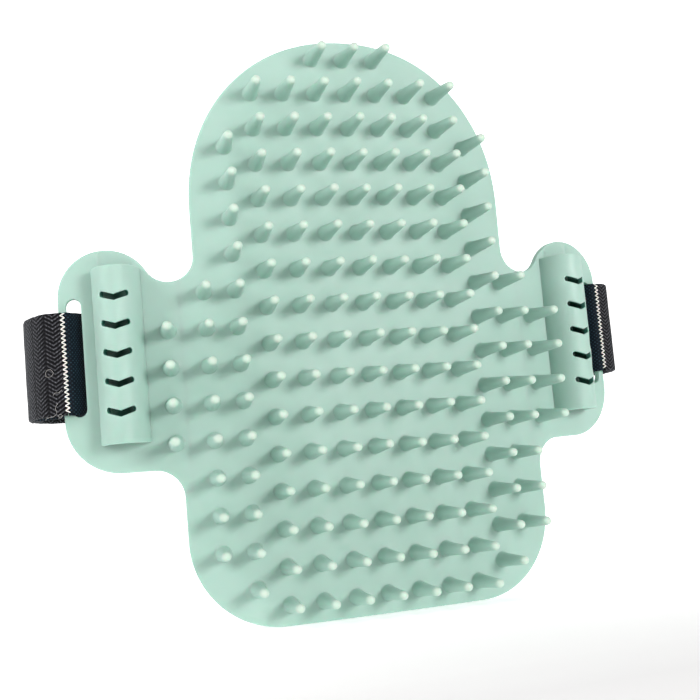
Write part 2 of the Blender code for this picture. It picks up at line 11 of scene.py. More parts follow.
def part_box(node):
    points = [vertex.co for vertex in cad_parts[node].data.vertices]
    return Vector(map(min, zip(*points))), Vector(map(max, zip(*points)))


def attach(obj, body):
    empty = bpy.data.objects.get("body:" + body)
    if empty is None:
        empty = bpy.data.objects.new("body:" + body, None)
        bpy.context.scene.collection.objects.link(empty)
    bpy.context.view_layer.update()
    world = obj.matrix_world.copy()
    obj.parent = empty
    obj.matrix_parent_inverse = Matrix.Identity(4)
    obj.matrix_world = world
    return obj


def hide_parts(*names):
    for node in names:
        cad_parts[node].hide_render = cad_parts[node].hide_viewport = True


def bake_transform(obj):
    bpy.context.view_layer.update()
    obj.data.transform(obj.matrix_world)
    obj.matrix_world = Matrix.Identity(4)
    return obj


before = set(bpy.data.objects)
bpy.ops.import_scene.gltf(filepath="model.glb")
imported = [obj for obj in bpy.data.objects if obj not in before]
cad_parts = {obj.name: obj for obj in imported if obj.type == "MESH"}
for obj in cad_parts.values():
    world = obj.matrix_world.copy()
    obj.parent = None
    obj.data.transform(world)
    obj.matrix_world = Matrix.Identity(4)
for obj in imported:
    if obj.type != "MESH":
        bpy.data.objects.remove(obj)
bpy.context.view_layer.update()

# A pet grooming glove: a mint silicone pad with soft pins, two vented wings and a hook-and-loop strap.
# Metres, +Z towards the fingers, +Y towards the hand.  u is measured along the pad's front face from
# its middle; height is measured out of that face, so the pins have positive heights.

random.seed(7)
MM = 0.001

# Sizes that the frame's boxes give.
PALM_LOW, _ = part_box("palm_pad")
_, WING_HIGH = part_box("right_wing")
ARCH_LOW, ARCH_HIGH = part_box("right_vent_arch")
TAIL_LOW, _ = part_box("strap_tail_band")

# The sheet: the same bend and outline as the frame's.
COLUMN_PITCH = 9.15 * MM
ROW_PITCH = 10 * MM
SHEET_THICKNESS = 2 * MM
FLAT_HALF_WIDTH = COLUMN_PITCH / 2
BEND_RADIUS = 280 * MM
NECK_START_U = 50 * MM
NECK_END_U = 60 * MM
NECK_BEND_RADIUS = 110 * MM
LOBE_HALF_WIDTH = 46.5 * MM
LOBE_HEIGHT = 47.4 * MM
LOBE_Z = 33 * MM
LOBE_POWER = 2.12
WING_TOP_Z = WING_HIGH.z
WING_BOTTOM_Z = -36.4 * MM
WING_EDGE_U = 83.0 * MM
WING_TOP_RADIUS = 12.6 * MM
WING_BOTTOM_RADIUS = 14.6 * MM
UPPER_NECK_Z = 13.4 * MM
UPPER_NECK_U = 57.3 * MM
UPPER_NECK_RADIUS = 6.8 * MM
WING_SHOULDER_U = 63.0 * MM
LOWER_NECK_Z = -36.8 * MM
LOWER_NECK_RADIUS = 7.6 * MM
BODY_HALF_WIDTH = 53.1 * MM
BODY_CORNER_RADIUS = 24.2 * MM
EDGE_ROUND = 0.35 * MM
EDGE_STEPS = 4
FRONT_DEPTH = 0.3 * MM  # points this close to the front face rise with its ridges
LOBE_STEPS = 64
CORNER_STEPS = 6  # at least
POINT_SPACING = 1.2 * MM  # along outlines
SHORTEST_STEP = 0.05 * MM  # closer outline points are merged
FIELD_SPACING = 3.4 * MM  # across faces
FIELD_CLEARANCE = 0.9 * MM  # from a face's outlines to the points inside it
SWELL = 0.44 * MM  # slow waves in the moulded sheet
SWELL_WAVES = 22  # per metre
SWELL_START_U = 8 * MM  # the middle stays flat
SWELL_FADE = 30 * MM

# Pins.
ROWS = 16
PIN_HEIGHT = 12.5 * MM
PIN_ROOT_RADIUS = 2.5 * MM  # where the fillet meets the sheet
PIN_BASE_RADIUS = 2.1 * MM
PIN_TIP_RADIUS = 1.2 * MM
PIN_FILLET = 0.4 * MM
PIN_SIDES = 24
PIN_FILLET_STEPS = 4
PIN_STEPS = 6  # up the shaft, and over the tip
PIN_TAPER = 0.9
PIN_LEAN = 0.16 * MM
PIN_CLEARANCE = 0.6 * MM  # from a pin's root to the points of the face round it
PIN_MARK = 1000  # a face's pins are marked with numbers from here
TOP_ROW_REACH = 1  # columns each side of the middle one
ROW_REACH = 3
# Outer columns: distance from the middle, first row and last row.
INNER_OUTER_COLUMN = (35.85 * MM, 3.5, 15.5)
MIDDLE_OUTER_COLUMN = (44.3 * MM, 7.5, 14.5)
WING_COLUMN = (54.4 * MM, 8.5, 11.5)

# Wings.
SEAM_U = 51.0 * MM  # palm and wing pieces meet here
SEAM_LOW_Z = -42.9 * MM
SEAM_TOP_Z = UPPER_NECK_Z + 0.4 * MM
SEAM_TOP_GAP = 1.5 * MM
SEAM_FOOT_Z = SEAM_LOW_Z - 0.6 * MM
SEAM_STEPS = 46
SEAM_FOOT_STEPS = 3
FLEX_END_U = 53.6 * MM  # a place on the wing between its seam and its pins' middles
SLOT_INNER_U = 77 * MM
SLOT_WIDTH = 4.0 * MM
SLOT_TOP_Z = 10.5 * MM
SLOT_BOTTOM_Z = -21.0 * MM
ARCH_U = 67.3 * MM
ARCH_HALF_WIDTH = 6.5 * MM
ARCH_HEIGHT = 9.0 * MM
ARCH_WALL = 1.7 * MM
ARCH_TOP_Z = ARCH_HIGH.z
ARCH_BOTTOM_Z = ARCH_LOW.z
ARCH_SINK = 0.6 * MM  # an arch's feet go this far into the sheet
ARCH_SPACING = 0.8 * MM
ARCH_STEPS = 96
CHEVRONS = 5
CHEVRON_TOP_Z = 8.85 * MM
CHEVRON_PITCH = 7.57 * MM
CHEVRON_REACH = 4.35 * MM
CHEVRON_RISE = 1.1 * MM
CHEVRON_STROKE = 1.5 * MM
CHEVRON_SPACING = 0.45 * MM
DUCT_END = 4 * MM  # painted shade starts this far inside an arch
DUCT_EDGE = 0.94  # and within this share of its section
DUCT_FLOOR = -0.2
DUCT_SHEET_SHARE = 0.4  # of the arch's width, on the sheet under it
PARTING_BEAD = 0.34 * MM  # fine ridges that the arch's core leaves above it
PARTING_HALF_WIDTH = 0.28 * MM
PARTING_REACH = 4.55 * MM
BEAD_LOWEST = 2 * MM  # below the arch's top
BEAD_START = 3 * MM
BEAD_STEP = 0.6 * MM
BEAD_POINTS = 15

# Strap.
STRAP_WIDTH = 27.4 * MM
STRAP_THICKNESS = 1.2 * MM
RING_RADIUS = 2.5 * MM
LEFT_STRAP_Z = -6.8 * MM
RIGHT_STRAP_Z = -3.85 * MM
CLOSURE_Z = -5.7 * MM
GAP = 0.3 * MM
SEAM_ANGLE = radians(97)
LEAVE_ANGLE = radians(88)
LEAVE_RUN = 1.5 * MM
TURN_RADIUS = 7 * MM
TURN_HEADING = radians(64)
BULGE_RADIUS = 24 * MM
SHOULDER_RADIUS = 18 * MM
TAPE_LEAVE_ANGLE = radians(150)
TAPE_RUN = 4.5 * MM
TAPE_TURN_RADIUS = 3.5 * MM
TAPE_TURN = radians(105)
TAPE_CURVE_REACH = 0.4
TAPE_CURVE_STEPS = 18
TAPE_RUN_STEPS = 6
BAND_CURVE_REACH = 0.45
BAND_CURVE_STEPS = 16
PLAN_SPACING = 0.7 * MM
RING_SPACING = 0.5 * MM
LEVEL_SPACING = 0.9 * MM
SEW_ANGLE = radians(15)
SEW_HALF_ANGLE = radians(8)
SEW_END = SEW_ANGLE + SEW_HALF_ANGLE
LEVEL_SHARE = 0.80
PATCH_THICKNESS = 0.8 * MM
PATCH_HALF_LENGTH = 18 * MM
PATCH_WIDTH = 24 * MM
PATCH_SEAM_INSET = 1.5 * MM
HOOK_PATCH_X = -9 * MM
LOOP_PATCH_X = 6 * MM
LEFT_BAND_END_X = 34 * MM
TAIL_END_X = TAIL_LOW.x
STITCH_PITCH = 1.19 * MM
STITCH_REACH = 0.58 * MM
STITCH_RADIUS = 0.16 * MM
STITCH_DEPTH = 0.16 * MM  # the thread's ends dip this far into the band
STITCH_LIFT = 0.10 * MM
STITCH_MARGIN = 1.2 * MM
STITCH_WANDER = 0.03 * MM
RIM_SEAM_SHIFT = 0.02  # radians
RUNNING_PITCH = 2.6 * MM
RUNNING_GAP = 0.25 * MM
# Share of a running stitch's length, and height over the band.
RUNNING_SHAPE = ((0.0, -STITCH_DEPTH), (0.12, 0.06 * MM), (0.5, 0.1 * MM), (0.88, 0.06 * MM),
                 (1.0, -STITCH_DEPTH))
THREAD_END = 0.6  # shares of a thread's radius
THREAD_DOME = 0.5
WEAVE_PITCH = 1.09 * MM
SECTION_STEPS = 20
SECTION_END_STEPS = 5
BAND_END_PINCH = 0.55
RIPPLE = 0.07 * MM  # of the band's faces
RIPPLE_WAVES = 160  # per metre
EDGE_WANDER = 0.14 * MM
EDGE_WAVES = 420
EDGE_BAND = 1.2 * MM

# Patches.
PATCH_GROUND = 0.35 * MM
PATCH_GAP = 0.02 * MM
PATCH_CORNER = 0.9 * MM
PATCH_EDGE = 0.18 * MM
PILE_MARGIN = 0.6 * MM
PILE_ROOT = 0.4  # of the ground's thickness, above its middle
LOOP_COUNT = 1500
LOOP_RADIUS = 0.05 * MM
LOOP_SHAPE = ((-1, 0.0), (-0.85, 0.7), (0.0, 1.0), (0.85, 0.7), (1, 0.0))  # shares of reach and height
HOOKED_LENGTH = 2 * PATCH_HALF_LENGTH - 2.4 * MM
HOOKED_WIDTH = PATCH_WIDTH - 2.2 * MM
HOOK_COLUMNS = 26  # spaces between columns
HOOK_ROWS = 19
HOOK_RADIUS = 0.09 * MM
HOOK_SHAPE = [(across * MM, rise * MM) for across, rise in
              ((0.0, 0.0), (0.0, 0.28), (0.06, 0.43), (0.2, 0.47), (0.3, 0.38))]
LINT_LIFT = STRAP_THICKNESS / 2 + 0.12 * MM
LINT_RADIUS = 0.042 * MM
LINT_STEPS = 6

# Camera and stage.
CAMERA_PLACE = Vector((-110.4, -296.9, -39.9)) * MM
CAMERA_ANGLES = (95.83, 5.02, -19.16)  # degrees
CAMERA_LENS = 58.46  # millimetres
CAMERA_SENSOR = 36.0
FLOOR_Z = PALM_LOW.z - 0.2 * MM
WHITE = (1.0, 1.0, 1.0, 1.0)
LAMP_TINT = (1.0, 0.955, 0.96)  # lamps a little warmer than the room
WORLD_LIGHT = 0.43  # what the white studio gives; it still shows as white


# ---- curves in the flat sheet ----

def waves(x, y, seed, size):
    """Slow random waves of a given size."""
    return noise.noise(Vector((x, y, seed))) * size


def smooth(t):
    t = min(1.0, max(0.0, t))
    return t * t * (3 - 2 * t)


def unit(heading):
    return Vector((cos(heading), sin(heading)))


def shares(steps):
    return [step / steps for step in range(steps + 1)]


def arc(centre, radius, start, end, steps):
    return [centre + radius * unit(start + (end - start) * share) for share in shares(steps)]


def circle(centre, radius, sides):
    return arc(centre, radius, 0.0, 2 * pi, sides)[:-1]


def rounded_corner(before, corner, after, radius):
    """Arc that rounds a polygon's corner."""
    to_before = (before - corner).normalized()
    to_after = (after - corner).normalized()
    half = to_before.angle(to_after) / 2
    centre = corner + (to_before + to_after).normalized() * (radius / sin(half))
    first = corner + to_before * (radius / tan(half)) - centre
    last = corner + to_after * (radius / tan(half)) - centre
    start = atan2(first.y, first.x)
    turn = atan2(first.cross(last), first.dot(last))
    steps = max(CORNER_STEPS, ceil(abs(turn) * radius / POINT_SPACING))
    return arc(centre, radius, start, start + turn, steps)


def half_outline():
    """Right half of the pad, from the top of the lobe clockwise to the bottom edge."""
    points = []
    for share in shares(LOBE_STEPS):
        angle = pi / 2 * (1 - share)
        u = LOBE_HALF_WIDTH * max(0.0, cos(angle)) ** (2 / LOBE_POWER)
        z = LOBE_Z + LOBE_HEIGHT * max(0.0, sin(angle)) ** (2 / LOBE_POWER)
        points.append(Vector((u, z)))
    points[0].x = 0.0
    corners = [(LOBE_HALF_WIDTH, LOBE_Z, 0.0),
               (LOBE_HALF_WIDTH, UPPER_NECK_Z, UPPER_NECK_RADIUS),
               (UPPER_NECK_U, UPPER_NECK_Z, UPPER_NECK_RADIUS),
               (WING_SHOULDER_U, WING_TOP_Z, WING_TOP_RADIUS),
               (WING_EDGE_U, WING_TOP_Z, WING_TOP_RADIUS),
               (WING_EDGE_U, WING_BOTTOM_Z, WING_BOTTOM_RADIUS),
               (BODY_HALF_WIDTH, LOWER_NECK_Z, LOWER_NECK_RADIUS),
               (BODY_HALF_WIDTH, PALM_LOW.z, BODY_CORNER_RADIUS),
               (0.0, PALM_LOW.z, 0.0)]
    spots = [Vector((u, z)) for u, z, _ in corners]
    for before, spot, after, (_, _, radius) in zip(spots, spots[1:], spots[2:], corners[1:]):
        points += rounded_corner(before, spot, after, radius)
    return points + [spots[-1]]


def spaced(points, spacing):
    """The closed line with points added until its steps are near spacing, and close ones merged."""
    result = []
    for here, after in zip(points, points[1:] + points[:1]):
        length = (after - here).length
        if length < SHORTEST_STEP:
            continue
        count = max(1, round(length / spacing))
        result += [here.lerp(after, step / count) for step in range(count)]
    return result


def neighbours(points):
    """Each point of a closed line with the one before it and the one after it."""
    return zip(points[-1:] + points[:-1], points, points[1:] + points[:1])


def left_normals(points):
    """Unit normals to the left of a closed line, which is where its material lies."""
    normals = []
    for before, here, after in neighbours(points):
        way = (here - before).normalized() + (after - here).normalized()
        normals.append(Vector((-way.y, way.x)).normalized())
    return normals


def edge_line(points, spacing):
    """A closed line as evenly spaced (point, inward normal) pairs."""
    points = spaced(points, spacing)
    return list(zip(points, left_normals(points)))


def pad_outline():
    """The whole pad, anticlockwise."""
    half = half_outline()
    left = [Vector((-point.x, point.y)) for point in half[1:-1]]
    return edge_line(half[::-1] + left, POINT_SPACING)


def inside(point, loop):
    """Whether a flat point lies inside a closed line."""
    odd = False
    previous = loop[-1]
    for here in loop:
        if (here.y > point.y) != (previous.y > point.y):
            cross = here.x + (point.y - here.y) / (previous.y - here.y) * (previous.x - here.x)
            if point.x < cross:
                odd = not odd
        previous = here
    return odd


def rounded_line(points, radius, steps=7):
    """Outline of a bent stroke with round ends, clockwise as a hole is."""
    ways = [(after - before).normalized() for before, after in zip(points, points[1:])]
    first_angle = atan2(ways[0].y, ways[0].x)
    last_angle = atan2(ways[-1].y, ways[-1].x)
    bends = []
    for point, before, after in zip(points[1:-1], ways, ways[1:]):
        square = Vector((-before.y, before.x))
        normal = (square + Vector((-after.y, after.x))).normalized()
        bends.append((point, normal * radius / normal.dot(square)))
    outline = arc(points[0], radius, first_angle + pi * 1.5, first_angle + pi / 2, steps)
    outline += [point + mitre for point, mitre in bends]
    outline += arc(points[-1], radius, last_angle + pi / 2, last_angle - pi / 2, steps)
    outline += [point - mitre for point, mitre in reversed(bends)]
    return outline


# ---- building meshes ----

def bridge(bm, rings):
    """Joins closed rings of vertices to one another with quads."""
    for first, second in zip(rings, rings[1:]):
        for i, vert in enumerate(first):
            j = (i + 1) % len(first)
            bm.faces.new((vert, first[j], second[j], second[i]))


def fan(bm, ring, tip):
    """Closes a ring of vertices with triangles to one tip."""
    for i, vert in enumerate(ring):
        bm.faces.new((vert, ring[(i + 1) % len(ring)], tip))


def piece_from(name, bm, material):
    """A smooth object in one material."""
    bmesh.ops.recalc_face_normals(bm, faces=bm.faces)
    mesh = bpy.data.meshes.new(name)
    bm.to_mesh(mesh)
    bm.free()
    mesh.shade_smooth()
    mesh.materials.append(material)
    made = bpy.data.objects.new(name, mesh)
    bpy.context.scene.collection.objects.link(made)
    return made


def fit(piece, slot, body, *replaced):
    """Hides the CAD nodes that a piece stands for and hangs the piece on the body that it rides on; slot is
    not used.
    """
    if replaced:
        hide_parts(*replaced)
    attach(piece, body)


# ---- moulded plates ----

def rim_profile(thickness):
    """(inset, height) pairs over a plate's rounded edge, from its front face to its back face."""
    angles = [pi / 2 * share for share in shares(EDGE_STEPS)]
    profile = [(EDGE_ROUND * (1 - sin(angle)), -EDGE_ROUND * (1 - cos(angle))) for angle in angles]
    return profile + [(inset, -thickness - height) for inset, height in reversed(profile)]


def field_points(loops, pins):
    """Points over a face, clear of its outline, holes and pins."""
    lines = [point for loop in loops for point in loop]
    tree = KDTree(len(lines))
    for index, point in enumerate(lines):
        tree.insert(point.to_3d(), index)
    tree.balance()

    def is_free(point):
        return (all((point - pin).length >= PIN_ROOT_RADIUS + PIN_CLEARANCE for pin in pins)
                and tree.find(point.to_3d())[2] >= FIELD_CLEARANCE
                and inside(point, loops[0]) and not any(inside(point, hole) for hole in loops[1:]))

    low = Vector((min(point.x for point in lines), min(point.y for point in lines)))
    high = Vector((max(point.x for point in lines), max(point.y for point in lines)))
    points = []
    for row in range(int((high.y - low.y) / FIELD_SPACING) + 1):
        for column in range(int((high.x - low.x) / FIELD_SPACING) + 1):
            point = low + Vector((column + 0.5 * (row % 2), row + 0.5)) * FIELD_SPACING
            if is_free(point):
                points.append(point)
    return points


def fill_face(bm, rings, loops, pins, pin_rings, ridge_lines, height, place):
    """Triangulates one face of a plate between its outline, holes and pins."""
    flat, made, marks, edges = [], [], [], []

    def add(points, verts, mark, links):
        """Adds points, with their vertices if they have any, and joins the first ones to the next."""
        start = len(flat)
        flat.extend(points)
        made.extend(verts or [None] * len(points))
        marks.extend([mark] * len(points))
        edges.extend((start + i, start + (i + 1) % len(points)) for i in range(links))

    for index, (ring, loop) in enumerate(zip(rings, loops)):
        add(loop, ring, index, len(loop))
    for index, (centre, ring) in enumerate(zip(pins, pin_rings)):
        add(circle(centre, PIN_ROOT_RADIUS, PIN_SIDES), ring, PIN_MARK + index, PIN_SIDES)
    for line in ridge_lines:
        add(line, None, -1, len(line) - 1)
    add(field_points(loops, pins), None, -1, 0)
    places, _, faces, origins, _, _ = delaunay_2d_cdt(flat, edges, [], 0, 1e-7)
    verts = []
    kinds = []
    for point, source in zip(places, origins):
        known = [index for index in source if made[index] is not None]
        verts.append(made[known[0]] if known else bm.verts.new(place(point.x, point.y, height)))
        kinds.append(marks[source[0]] if source else -1)
    for face in faces:
        kind = kinds[face[0]]
        if kind >= 0 and all(kinds[index] == kind for index in face):
            centre = sum((places[index] for index in face), Vector((0.0, 0.0))) / len(face)
            if kind >= PIN_MARK or inside(centre, loops[kind]) != (kind == 0):
                continue
        bm.faces.new([verts[index] for index in face])


def plate(name, loops, thickness, place, pins=(), ridge_lines=()):
    """A moulded sheet.  loops are closed lines of (point, inward normal): the outline, then the holes.
    A point with no normal lies on a cut where the sheet goes on in another piece."""
    bm = bmesh.new()
    reach_layer = bm.verts.layers.float.new("pin_reach")
    front_rings, back_rings, flat_loops = [], [], []
    for loop in loops:
        rows = []
        for inset, height in rim_profile(thickness):
            cut_height = 0.0 if height > -thickness / 2 else -thickness
            row = []
            for point, normal in loop:
                flat = point + normal * inset if normal else point
                row.append(bm.verts.new(place(flat.x, flat.y, height if normal else cut_height)))
            rows.append(row)
        for upper, lower in zip(rows, rows[1:]):
            for i, here in enumerate(loop):
                j = (i + 1) % len(loop)
                if here[1] and loop[j][1]:
                    bm.faces.new((upper[i], lower[i], lower[j], upper[j]))
        front_rings.append(rows[0])
        back_rings.append(rows[-1])
        flat_loops.append([point + normal * EDGE_ROUND if normal else point for point, normal in loop])
    pin_rings = [add_pin(bm, reach_layer, pin, place) for pin in pins]
    fill_face(bm, front_rings, flat_loops, pins, pin_rings, ridge_lines, 0.0, place)
    fill_face(bm, back_rings, flat_loops, (), (), (), -thickness, place)
    loose = [vert for vert in bm.verts if not vert.link_faces]
    bmesh.ops.delete(bm, geom=loose, context="VERTS")
    return piece_from(name, bm, SILICONE)


def pin_profile():
    """(radius, height) pairs of the root fillet, the tapered shaft and the round tip."""
    pairs = []
    for share in shares(PIN_FILLET_STEPS):
        angle = pi / 2 * share
        radius = PIN_ROOT_RADIUS - (PIN_ROOT_RADIUS - PIN_BASE_RADIUS) * sin(angle)
        pairs.append((radius, PIN_FILLET * (1 - cos(angle))))
    shoulder = PIN_HEIGHT - PIN_TIP_RADIUS
    for share in shares(PIN_STEPS)[1:-1]:
        radius = PIN_BASE_RADIUS + (PIN_TIP_RADIUS - PIN_BASE_RADIUS) * share ** PIN_TAPER
        pairs.append((radius, PIN_FILLET + (shoulder - PIN_FILLET) * share))
    for share in shares(PIN_STEPS)[:-1]:
        angle = pi / 2 * share
        pairs.append((PIN_TIP_RADIUS * cos(angle), shoulder + PIN_TIP_RADIUS * sin(angle)))
    return pairs


def add_pin(bm, reach_layer, centre, place):
    """One pin on a plate; returns its root ring.  Each pin leans by a hair's breadth, as soft ones do."""
    lean = Vector((random.uniform(-1, 1), random.uniform(-1, 1))) * PIN_LEAN
    rings = []
    for radius, height in pin_profile():
        middle = centre + lean * (height / PIN_HEIGHT) ** 2
        ring = []
        for flat in circle(middle, radius, PIN_SIDES):
            vert = bm.verts.new(place(flat.x, flat.y, height))
            vert[reach_layer] = height / PIN_HEIGHT
            ring.append(vert)
        rings.append(ring)
    bridge(bm, rings)
    tip = bm.verts.new(place(centre.x + lean.x, centre.y + lean.y, PIN_HEIGHT))
    tip[reach_layer] = 1.0
    fan(bm, rings[-1], tip)
    return rings[0]


# ---- the bent pad ----

def face_line(u):
    """Plan place and angle of the front face at a distance u to the right of the middle."""
    bends = ((FLAT_HALF_WIDTH, None), (NECK_START_U, BEND_RADIUS), (NECK_END_U, NECK_BEND_RADIUS),
             (u, None))
    x = y = angle = done = 0.0
    for end, radius in bends:
        length = min(u, end) - done
        if length <= 0.0:
            continue
        if radius:
            turned = angle + length / radius
            x += radius * (sin(turned) - sin(angle))
            y += radius * (cos(angle) - cos(turned))
            angle = turned
        else:
            x += length * cos(angle)
            y += length * sin(angle)
        done = end
    return x, y, angle


def bend_angle(u):
    return copysign(face_line(abs(u))[2], u)


def bent(u, z, height):
    x, y, angle = face_line(abs(u))
    x += height * sin(angle)
    return Vector((copysign(x, u), y - SHEET_THICKNESS - height * cos(angle), z))


def bead_rise(u, z):
    """Height of the parting ridges above an arch."""
    across = abs(abs(abs(u) - ARCH_U) - PARTING_REACH)
    return PARTING_BEAD * smooth(1 - across / PARTING_HALF_WIDTH) if z > ARCH_TOP_Z - BEAD_LOWEST else 0.0


def pad_place(u, z, height):
    """A point of the pad: bent, with the slow swell of a soft moulding that stands on its edge."""
    swell = waves(u * SWELL_WAVES, z * SWELL_WAVES, 3.1, SWELL)
    free = smooth((abs(u) - SWELL_START_U) / SWELL_FADE)
    rise = bead_rise(u, z) if height > -FRONT_DEPTH else 0.0
    return bent(u, z, height + swell * free + rise)


def row_z(row):
    return (0.5 + ROWS / 2 - row) * ROW_PITCH


def column_pins(side, column):
    u, first, last = column
    return [Vector((side * u, row_z(first + step))) for step in range(int(last - first) + 1)]


def palm_pins():
    pins = []
    for row in range(1, ROWS + 1):
        reach = TOP_ROW_REACH if row == 1 else ROW_REACH
        pins += [Vector((column * COLUMN_PITCH, row_z(row))) for column in range(-reach, reach + 1)]
    for side in (-1, 1):
        pins += column_pins(side, INNER_OUTER_COLUMN) + column_pins(side, MIDDLE_OUTER_COLUMN)
    return pins


def nearest_index(outline, target):
    return min(range(len(outline)), key=lambda i: (outline[i][0] - target).length)


def seam_points(start, end, side):
    """The cut between palm and wing, from the upper neck to the lower neck."""
    corner = Vector((side * SEAM_U, SEAM_LOW_Z))
    top = Vector((side * SEAM_U, start.y - SEAM_TOP_GAP))
    down = [top.lerp(corner, share) for share in shares(SEAM_STEPS)]
    return down + [corner.lerp(end, share) for share in shares(SEAM_FOOT_STEPS)[1:-1]]


def split_pad():
    """Outlines of the palm and the two wings, which share the vertices of their cuts."""
    outline = pad_outline()

    def stretch(first, last):
        count = (last - first) % len(outline)
        return [outline[(first + step) % len(outline)] for step in range(count + 1)]

    def cut(side):
        upper = nearest_index(outline, Vector((side * SEAM_U, SEAM_TOP_Z)))
        lower = nearest_index(outline, Vector((side * BODY_HALF_WIDTH, SEAM_FOOT_Z)))
        seam = seam_points(outline[upper][0], outline[lower][0], side)
        return upper, lower, [(point, None) for point in seam]

    left_upper, left_lower, left_cut = cut(-1)
    right_upper, right_lower, right_cut = cut(1)
    left_wing = stretch(left_upper, left_lower) + left_cut[::-1]
    right_wing = stretch(right_lower, right_upper) + right_cut
    palm = stretch(right_upper, left_upper) + left_cut
    palm += stretch(left_lower, right_lower) + right_cut[::-1]
    return palm, left_wing, right_wing


def slot_hole(side):
    middle = side * (SLOT_INNER_U + SLOT_WIDTH / 2)
    radius = SLOT_WIDTH / 2
    line = [Vector((middle, SLOT_TOP_Z - radius)), Vector((middle, SLOT_BOTTOM_Z + radius))]
    return edge_line(rounded_line(line, radius), POINT_SPACING)


def bead_lines(side, outline):
    """Constraint lines along the parting ridges, clear of the pad's rounded edge."""
    flat = [point for point, _ in outline]

    def is_clear(point):
        return inside(point, flat) and min((point - rim).length for rim in flat) > FIELD_CLEARANCE

    lines = []
    for edge in (-1, 1):
        for shift in (-PARTING_HALF_WIDTH, 0.0, PARTING_HALF_WIDTH):
            u = side * (ARCH_U + edge * PARTING_REACH + shift)
            heights = [ARCH_TOP_Z - BEAD_START + step * BEAD_STEP for step in range(BEAD_POINTS)]
            lines.append([Vector((u, z)) for z in heights if is_clear(Vector((u, z)))])
    return lines


def make_pad():
    palm_outline, left_outline, right_outline = split_pad()
    palm = plate("palm_skin", [palm_outline], SHEET_THICKNESS, pad_place, palm_pins())
    fit(palm, "mint_silicone", "palm", "palm_pad")
    for side, name, outline in ((-1, "left", left_outline), (1, "right", right_outline)):
        wing = plate(f"{name}_wing_skin", [outline, slot_hole(side)], SHEET_THICKNESS, pad_place,
                     column_pins(side, WING_COLUMN), bead_lines(side, outline))
        # the sheet under each arch gets the same painted shade
        paint_duct_shade(wing, side, ARCH_HALF_WIDTH * DUCT_SHEET_SHARE)
        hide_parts(f"{name}_wing")
        bent(side * SEAM_U, 0.0, 0.0)
        bent(side * FLEX_END_U, 0.0, 0.0)
        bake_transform(wing)


# ---- vent arches ----

def arch_ellipse(share, half_width, height):
    """Point of the arch's section at share -1 to 1 of its width's sweep."""
    angle = pi / 2 * (1 - share)
    return Vector((half_width * cos(angle), height * sin(angle)))


ARCH_SWEEP = [arch_ellipse(2 * share - 1, ARCH_HALF_WIDTH, ARCH_HEIGHT) for share in shares(ARCH_STEPS)]
ARCH_LENGTHS = [0.0]
for earlier, later in zip(ARCH_SWEEP, ARCH_SWEEP[1:]):
    ARCH_LENGTHS.append(ARCH_LENGTHS[-1] + (later - earlier).length)
ARCH_SPAN = ARCH_LENGTHS[-1]


def arch_share(s):
    """Share of the sweep at a distance s along the section from its crest."""
    target = min(ARCH_SPAN, max(0.0, s + ARCH_SPAN / 2))
    for index, (low, high) in enumerate(zip(ARCH_LENGTHS, ARCH_LENGTHS[1:])):
        if target <= high:
            return -1 + 2 * (index + (target - low) / (high - low)) / ARCH_STEPS
    return 1.0


def arch_place(side):
    """Place function of an arch: s along its section, z up, height out of its outer face."""
    angle = bend_angle(side * ARCH_U)
    foot = bent(side * ARCH_U, 0.0, 0.0)

    def place(s, z, height):
        share = arch_share(s)
        outer = arch_ellipse(share, ARCH_HALF_WIDTH, ARCH_HEIGHT)
        inner = arch_ellipse(share, ARCH_HALF_WIDTH - ARCH_WALL, ARCH_HEIGHT - ARCH_WALL)
        point = outer.lerp(inner, -height / ARCH_WALL)
        up = point.y - max(0.0, abs(s) - ARCH_SPAN / 2)
        x = foot.x + point.x * cos(angle) + up * sin(angle)
        y = foot.y + point.x * sin(angle) - up * cos(angle)
        return Vector((x, y, z))

    return place


def chevron_hole(index):
    middle = CHEVRON_TOP_Z - index * CHEVRON_PITCH
    reach = CHEVRON_REACH - CHEVRON_STROKE / 2
    rises = (CHEVRON_RISE, 0.0, CHEVRON_RISE)
    line = [Vector((across, middle + rise)) for across, rise in zip((-reach, 0.0, reach), rises)]
    return edge_line(rounded_line(line, CHEVRON_STROKE / 2), CHEVRON_SPACING)


def paint_duct_shade(piece, side, half_width):
    """Marks the points in an arch's duct and slots that get painted shade, where the moulding's colour is
    darkened.
    """
    angle = bend_angle(side * ARCH_U)
    foot = bent(side * ARCH_U, 0.0, 0.0)
    layer = piece.data.attributes.new("duct_painted_shade", "FLOAT", "POINT")
    for vert, value in zip(piece.data.vertices, layer.data):
        offset = vert.co.xy - foot.xy
        across = offset.dot(unit(angle)) / half_width
        up = offset.dot(unit(angle - pi / 2)) / ARCH_HEIGHT
        if not ARCH_BOTTOM_Z + DUCT_END < vert.co.z < ARCH_TOP_Z - DUCT_END:
            continue
        if up > DUCT_FLOOR and across ** 2 + up ** 2 < DUCT_EDGE:
            value.value = 1.0


def make_arch(side, name):
    half = ARCH_SPAN / 2 + ARCH_SINK
    corners = [Vector((-half, ARCH_BOTTOM_Z)), Vector((half, ARCH_BOTTOM_Z)),
               Vector((half, ARCH_TOP_Z)), Vector((-half, ARCH_TOP_Z))]
    loops = [edge_line(corners, ARCH_SPACING)] + [chevron_hole(index) for index in range(CHEVRONS)]
    arch = plate(f"{name}_arch_shell", loops, ARCH_WALL, arch_place(side))
    paint_duct_shade(arch, side, ARCH_HALF_WIDTH)
    fit(arch, "mint_silicone", f"{name}_flap", f"{name}_vent_arch")


# ---- materials ----

